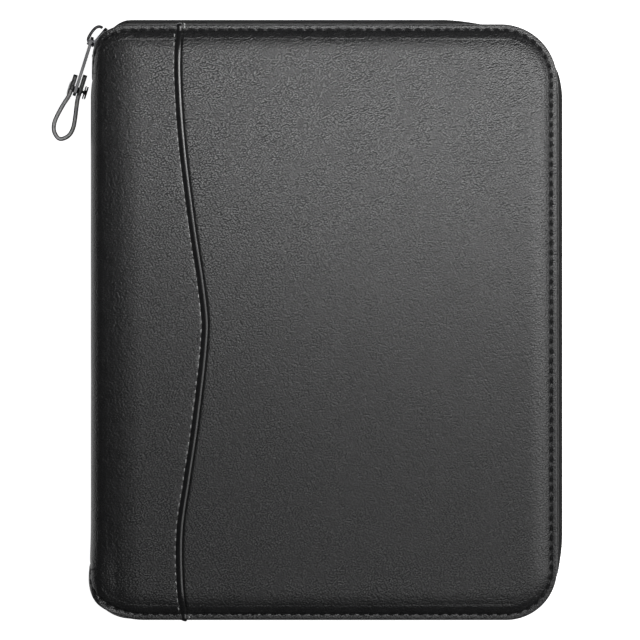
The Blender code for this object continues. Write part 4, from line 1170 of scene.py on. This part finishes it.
def make_pages():
    step = PAGE_T / BUNDLES
    for name, low in (("lower_pages", MID - PAGE_GAP - PAGE_T), ("upper_pages", MID + PAGE_GAP)):
        parts, index = [], []
        for k in range(BUNDLES):
            z0, z1 = low + k * step, low + (k + BUNDLE_SHARE) * step
            reach = sqrt(RING_R ** 2 - ((z0 + z1) / 2 - MID) ** 2)
            dx, dy = RNG.uniform(-JOG_X, 0.0), RNG.uniform(-JOG_Y, JOG_Y)
            edge = rounded(PAGE_X[0] + dx, PAGE_X[1] + dx, -PAGE_HALF + dy, PAGE_HALF + dy, PAGE_CORNER, 4)
            holes = [punched(RING_X + reach, y) for y in RING_YS]
            points, faces = slab(edge, holes, z0, z1, lambda a, b, h: (a, b, h))
            walls = len(edge) + sum(len(hole) for hole in holes)
            index += [0] * (len(faces) - walls) + [1] * walls
            parts.append((points, faces))
        looks = [PAPER, PAPER_EDGE]
        block = piece(name + "_sheets", *joined(parts), looks, "paper", smooth=False, indices=index)
        ride(block, name, name)


# Linings, pockets and pen loop
LINING_IN = 1.3
LINING_LEFT = -85.7
LINING_T = 0.75
LINING_STITCH = (3.6, 2.4, 0.22)
SPINE_LINING = (10.0, 42.0)
SPINE_LINING_HALF = 99.5
SPINE_LINING_X = -89.55
POCKET_X = (-46.0, 89.0)
POCKET_LOW = -114.0
POCKET_CUT = 16.0
POCKET_SLANT = 40.0
POCKET_HEM = 7.0
POCKET_STITCH = (3.4, 2.2, 0.2)
CARD_X = (-38.0, 58.0)
CARD_LOW = 34.0
CARD_TOP = 90.0
CARD_STEP = 14.0
CARD_STITCH = (3.2, 2.1, 0.2)
PEN_X = 84.0
PEN_Z = 39.7
PEN_R = 5.0
PEN_MID_R = 4.6
PEN_Y = (28.0, 76.0)
PEN_RIB = 0.07
PEN_RIB_PITCH = 2.0


def cloth_panel(name, body, node, below, xs, low, high, z_face, facing, thick, swell=0.0, hem=0.0,
                hem_w=POCKET_HEM, mat=LINING, slot="lining_cloth", upright=False):
    """A sewn panel, puffed on the side it faces and flat behind; upright, it stands against the spine."""
    across = graded(xs[0], xs[1], 0.5, 1.35, 5.0)
    up = columns(200.0, 0.5, 1.35, 6.0)
    lows, highs = (np.array([edge(x) for x in across]) for edge in (low, high))
    x = np.repeat(across[None], len(up), 0)
    y = lows + (highs - lows) * up[:, None]
    edge = np.minimum(np.minimum(x - xs[0], xs[1] - x), np.minimum(y - lows, highs - y))
    puff = swell * (1 - np.exp(-edge / 5.0)) + 0.15 * (1 - np.exp(-edge / 0.3))
    if hem:
        puff = puff + eased(hem_w - (highs - y), 0.0, 0.8, 0.0, hem) * (1 - np.exp(-edge / 0.3))
    top = np.stack([x, y, z_face + facing * puff], -1)
    bottom = np.stack([x, y, np.full_like(x, z_face - facing * thick)], -1)
    n = x.size
    faces = grid_faces(*x.shape, facing < 0) + grid_faces(*x.shape, facing > 0, n)
    at = np.arange(n).reshape(x.shape)
    rim = [*at[0], *at[1:, -1], *at[-1, -2::-1], *at[-2:0:-1, 0]]
    for a, b in zip(rim, rim[1:] + rim[:1]):
        faces.append((a, n + a, n + b, b) if facing > 0 else (b, n + b, n + a, a))
    points = np.vstack([top, bottom])
    if upright:
        points = np.stack([SPINE_LINING_X + points[..., 2], points[..., 1], 2 * MID - points[..., 0]], -1)
    obj = piece(name, points, faces, mat, slot)
    ride(obj, body, node)
    area = float(np.trapz(highs - lows, across)) * MM * MM
    size = ((xs[1] - xs[0]) * MM, (max(highs) - min(lows)) * MM)
    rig.sheet(obj, flat=size, held="laid", rests_on=[below], area=area)


def lining_top(x):
    if x > RIGHT_C:
        return FORE_HALF + sqrt(max(0.0, (FORE_R - LINING_IN) ** 2 - (x - RIGHT_C) ** 2))
    if x < LEFT_C:
        return SPINE_HALF + sqrt(max(0.0, (SPINE_R - LINING_IN) ** 2 - (x - LEFT_C) ** 2))
    return HALF_H - LINING_IN


def make_linings():
    seam_left, seam_right = LINING_LEFT + 2, HALF_W - 4.0
    seam_in = 2.6
    for prefix, side in COVERS:
        z = MID + side * LINING_Z
        xs = (LINING_LEFT, HALF_W - LINING_IN)
        cloth_panel(prefix + "_lining_cloth", prefix + "_cover", prefix + "_lining", prefix + "_board", xs,
                    lambda x: -lining_top(x), lining_top, z, -side, LINING_T)
        ring = [(x, lining_top(x) - seam_in) for x in np.linspace(seam_left, seam_right, 60)]
        ring += [(seam_right, y) for y in np.linspace(FORE_HALF, -FORE_HALF, 20)]
        ring += [(x, -lining_top(x) + seam_in) for x in np.linspace(seam_right, seam_left, 60)]
        row = stitch_row(ring, z - side * 0.1, side, *LINING_STITCH)
        ride(piece(prefix + "_lining_stitches", *joined(row), THREAD, "lining_cloth"), prefix + "_cover")
    cloth_panel("spine_lining_cloth", "spine", "spine_lining", "spine_board", SPINE_LINING,
                lambda x: -SPINE_LINING_HALF, lambda x: SPINE_LINING_HALF, 0.0, 1, 0.6, upright=True)


def make_pockets():
    left, right = POCKET_X

    def bottom(x):
        return POCKET_LOW + max(0.0, x - RIGHT_C) / (right - RIGHT_C) * POCKET_CUT

    for prefix, side, rise in (("front", 1, 20.0), ("back", -1, 62.0)):
        def mouth(x):
            return rise - POCKET_SLANT * (1 - (x - left) / (right - left))

        z = MID + side * (LINING_Z - 0.8)
        cloth_panel(prefix + "_pocket_cloth", prefix + "_cover", prefix + "_pocket", prefix + "_lining_cloth",
                    POCKET_X, bottom, mouth, z, -side, 0.4, 0.35, 0.25)
        ring = [(left + 2, mouth(left) - 2), (left + 2, POCKET_LOW + 2), (RIGHT_C, POCKET_LOW + 2),
                (right - 2, POCKET_LOW + POCKET_CUT + 1), (right - 2, rise - 2)]
        row = stitch_row(ring, z - side * 0.18, side, *POCKET_STITCH)
        hem = [(x, mouth(x) - POCKET_HEM) for x in np.linspace(left + 3, right - 3, 12)]
        row += stitch_row(hem, z - side * 0.55, side, *POCKET_STITCH)
        ride(piece(prefix + "_pocket_stitches", *joined(row), THREAD, "lining_cloth"), prefix + "_cover")


def make_card_slots():
    x0, x1 = CARD_X
    y0 = CARD_LOW
    rows = []
    for k in range(3):
        z = MID + LINING_Z - 0.75 - k
        y1 = CARD_TOP - CARD_STEP * k
        number = str(k + 1)
        cloth_panel("card_slot_" + number, "front_cover", "card_pocket_" + number, "front_lining_cloth",
                    CARD_X, lambda x: y0, lambda x: y1, z, -1, 0.4, 0.2, 0.12, 3.0, LEATHER, "black_leather")
        ring = [(x0 + 1.6, y1 - 1.5), (x0 + 1.6, y0 + 1.6), (x1 - 1.6, y0 + 1.6), (x1 - 1.6, y1 - 1.5)]
        hem = [(x0 + 2, y1 - 3), (x1 - 2, y1 - 3)]
        rows += stitch_row(ring if k == 2 else hem, z - 0.2, 1, *CARD_STITCH)
    ride(piece("card_stitches", *joined(rows), THREAD, "black_leather"), "front_cover")


def make_pen_loop():
    ys = np.arange(PEN_Y[0], PEN_Y[1] + 0.01, 0.5)
    turns = circle(36)
    rib = PEN_RIB * np.cos(2 * pi * ys / PEN_RIB_PITCH)
    outer, inner = (PEN_R - np.array([end] + [mid] * (len(ys) - 2) + [end]) + rib
                    for end, mid in ((0.35, 0.08), (0.65, 0.85)))
    rings = []
    for y, radius in list(zip(ys, outer)) + list(zip(ys[::-1], inner[::-1])):
        rings.append([(PEN_X + radius * cos(a), y, PEN_Z + radius * sin(a)) for a in turns])
    n, m = len(rings), len(turns)
    faces = grid_faces(n, m, True, around=True)
    last = (n - 1) * m
    faces += [(a, b, last + b, last + a) for a, b in ((k, (k + 1) % m) for k in range(m))]
    loop = piece("pen_loop_band", rings, faces, ELASTIC, "elastic")
    ride(loop, "front_cover", "pen_loop")
    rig.sheet(loop, flat=((PEN_Y[1] - PEN_Y[0]) * MM, 2 * pi * PEN_MID_R * MM), held="folded",
             rests_on=["front_lining_cloth"])


# CAD pieces that stay: their finish and softened edges
CAD_LOOKS = ((BOARD, ("front_board", "back_board", "spine_board")),
             (NICKEL, ("front_hinge_plate", "back_hinge_plate", "ring_casing", "casing_rivet_top",
                       "casing_rivet_bottom", "top_trigger", "bottom_trigger")),
             (DARK_METAL, ("zip_top_stop", "zip_bottom_stop")))


def dress_cad():
    for mat, nodes in CAD_LOOKS:
        for node in nodes:
            obj = frame["nodes"][node]
            obj.data.materials.clear()
            obj.data.materials.append(mat)
            if mat != BOARD:
                bevelled(obj, 0.2)


# Studio: lights by name, place, what they face (straight down if nothing), size and power
LIGHTS = (("overhead_panel", (0.03, -0.09, 1.55), None, (0.46, 0.44), 2.2),
          ("top_softbox", (0.075, 0.105, 0.29), None, (0.35, 0.05), 0.6),
          ("right_softbox", (0.564, 0.1, 0.70), (0.094, 0.05, 0.05), (0.6, 0.71), 4.0))
FLOOR_GLOW = 0.6
FLOOR_REACH = 3.0
FLOOR_Z = -0.0003
AROUND_COLOUR = (0.9, 0.92, 0.95, 1.0)
AROUND_STRENGTH = 0.04
CAMERA_AWAY = 5.0
CAMERA_TARGET = Vector((-0.00149, 0.00090, 0.051))
CAMERA_TILT = radians(0.3)
FRAME_W = 0.2577
SENSOR_W = 36.0


def area_light(name, at, towards, size, power):
    data = bpy.data.lights.new(name, "AREA")
    data.shape = "RECTANGLE"
    data.size, data.size_y = size
    data.energy = power
    obj = add_object(name, data)
    obj.location = at
    if towards:
        obj.rotation_euler = (Vector(towards) - Vector(at)).to_track_quat("-Z", "Y").to_euler()
    obj.visible_camera = False
    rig.stage(obj)


def make_floor():
    s = Shading("floor_white")
    grain = s.noise(40.0)
    s.bump(grain, 0.0002)
    glow = s.span(s.add("ShaderNodeLightPath").outputs["Is Camera Ray"], FLOOR_GLOW, 1.0, 0.0, 1.0)
    floor_mat = s.finish(s.tint(grain, grey(0.86, 0.0), grey(0.9, 0.0)), s.span(grain, 0.6, 0.7),
                         Emission_Color=(1.0, 1.0, 1.0, 1.0), Emission_Strength=glow)
    mesh = bpy.data.meshes.new("floor")
    corners = [(x * FLOOR_REACH, y * FLOOR_REACH, FLOOR_Z) for x, y in ((-1, -1), (1, -1), (1, 1), (-1, 1))]
    mesh.from_pydata(corners, [], [(0, 1, 2, 3)])
    mesh.materials.append(floor_mat)
    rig.stage(add_object("floor", mesh))


def make_world():
    """Faint light all round; the camera sees a bright background."""
    world = bpy.data.worlds.new("studio")
    bpy.context.scene.world = world
    world.use_nodes = True
    tree = world.node_tree
    around = tree.nodes["Background"]
    around.inputs["Color"].default_value = AROUND_COLOUR
    around.inputs["Strength"].default_value = AROUND_STRENGTH
    seen = tree.nodes.new("ShaderNodeBackground")
    mix = tree.nodes.new("ShaderNodeMixShader")
    to_camera = tree.nodes.new("ShaderNodeLightPath").outputs["Is Camera Ray"]
    for k, socket in enumerate((to_camera, around.outputs[0], seen.outputs[0])):
        tree.links.new(socket, mix.inputs[k])
    tree.links.new(mix.outputs[0], tree.nodes["World Output"].inputs["Surface"])


def make_camera():
    data = bpy.data.cameras.new("camera")
    data.type = "PERSP"
    data.sensor_width = SENSOR_W
    data.lens = SENSOR_W * CAMERA_AWAY / FRAME_W
    data.clip_end = 50.0
    cam = add_object("camera", data)
    cam.location = CAMERA_TARGET + Vector((tan(CAMERA_TILT), tan(CAMERA_TILT), 1.0)) * CAMERA_AWAY
    look = (CAMERA_TARGET - cam.location).normalized()
    right = look.cross(Vector((0, 1, 0))).normalized()
    up = right.cross(look)
    cam.rotation_euler = Matrix((right, up, -look)).transposed().to_euler()
    bpy.context.scene.camera = cam


make_panels()
for cover in COVERS:
    make_rim(*cover)
make_wave_strip()
make_zip()
make_slider()
make_pull()
make_rings()
make_pages()
make_linings()
make_pockets()
make_card_slots()
make_pen_loop()
dress_cad()
make_floor()
make_world()
for light in LIGHTS:
    area_light(*light)
make_camera()
bpy.context.scene.view_settings.view_transform = "Standard"

with open("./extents.json", "w") as out:
    json.dump({"cad": [list(v) for v in CAD_BOUNDS], "visual": [list(v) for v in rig.bounds()]}, out)
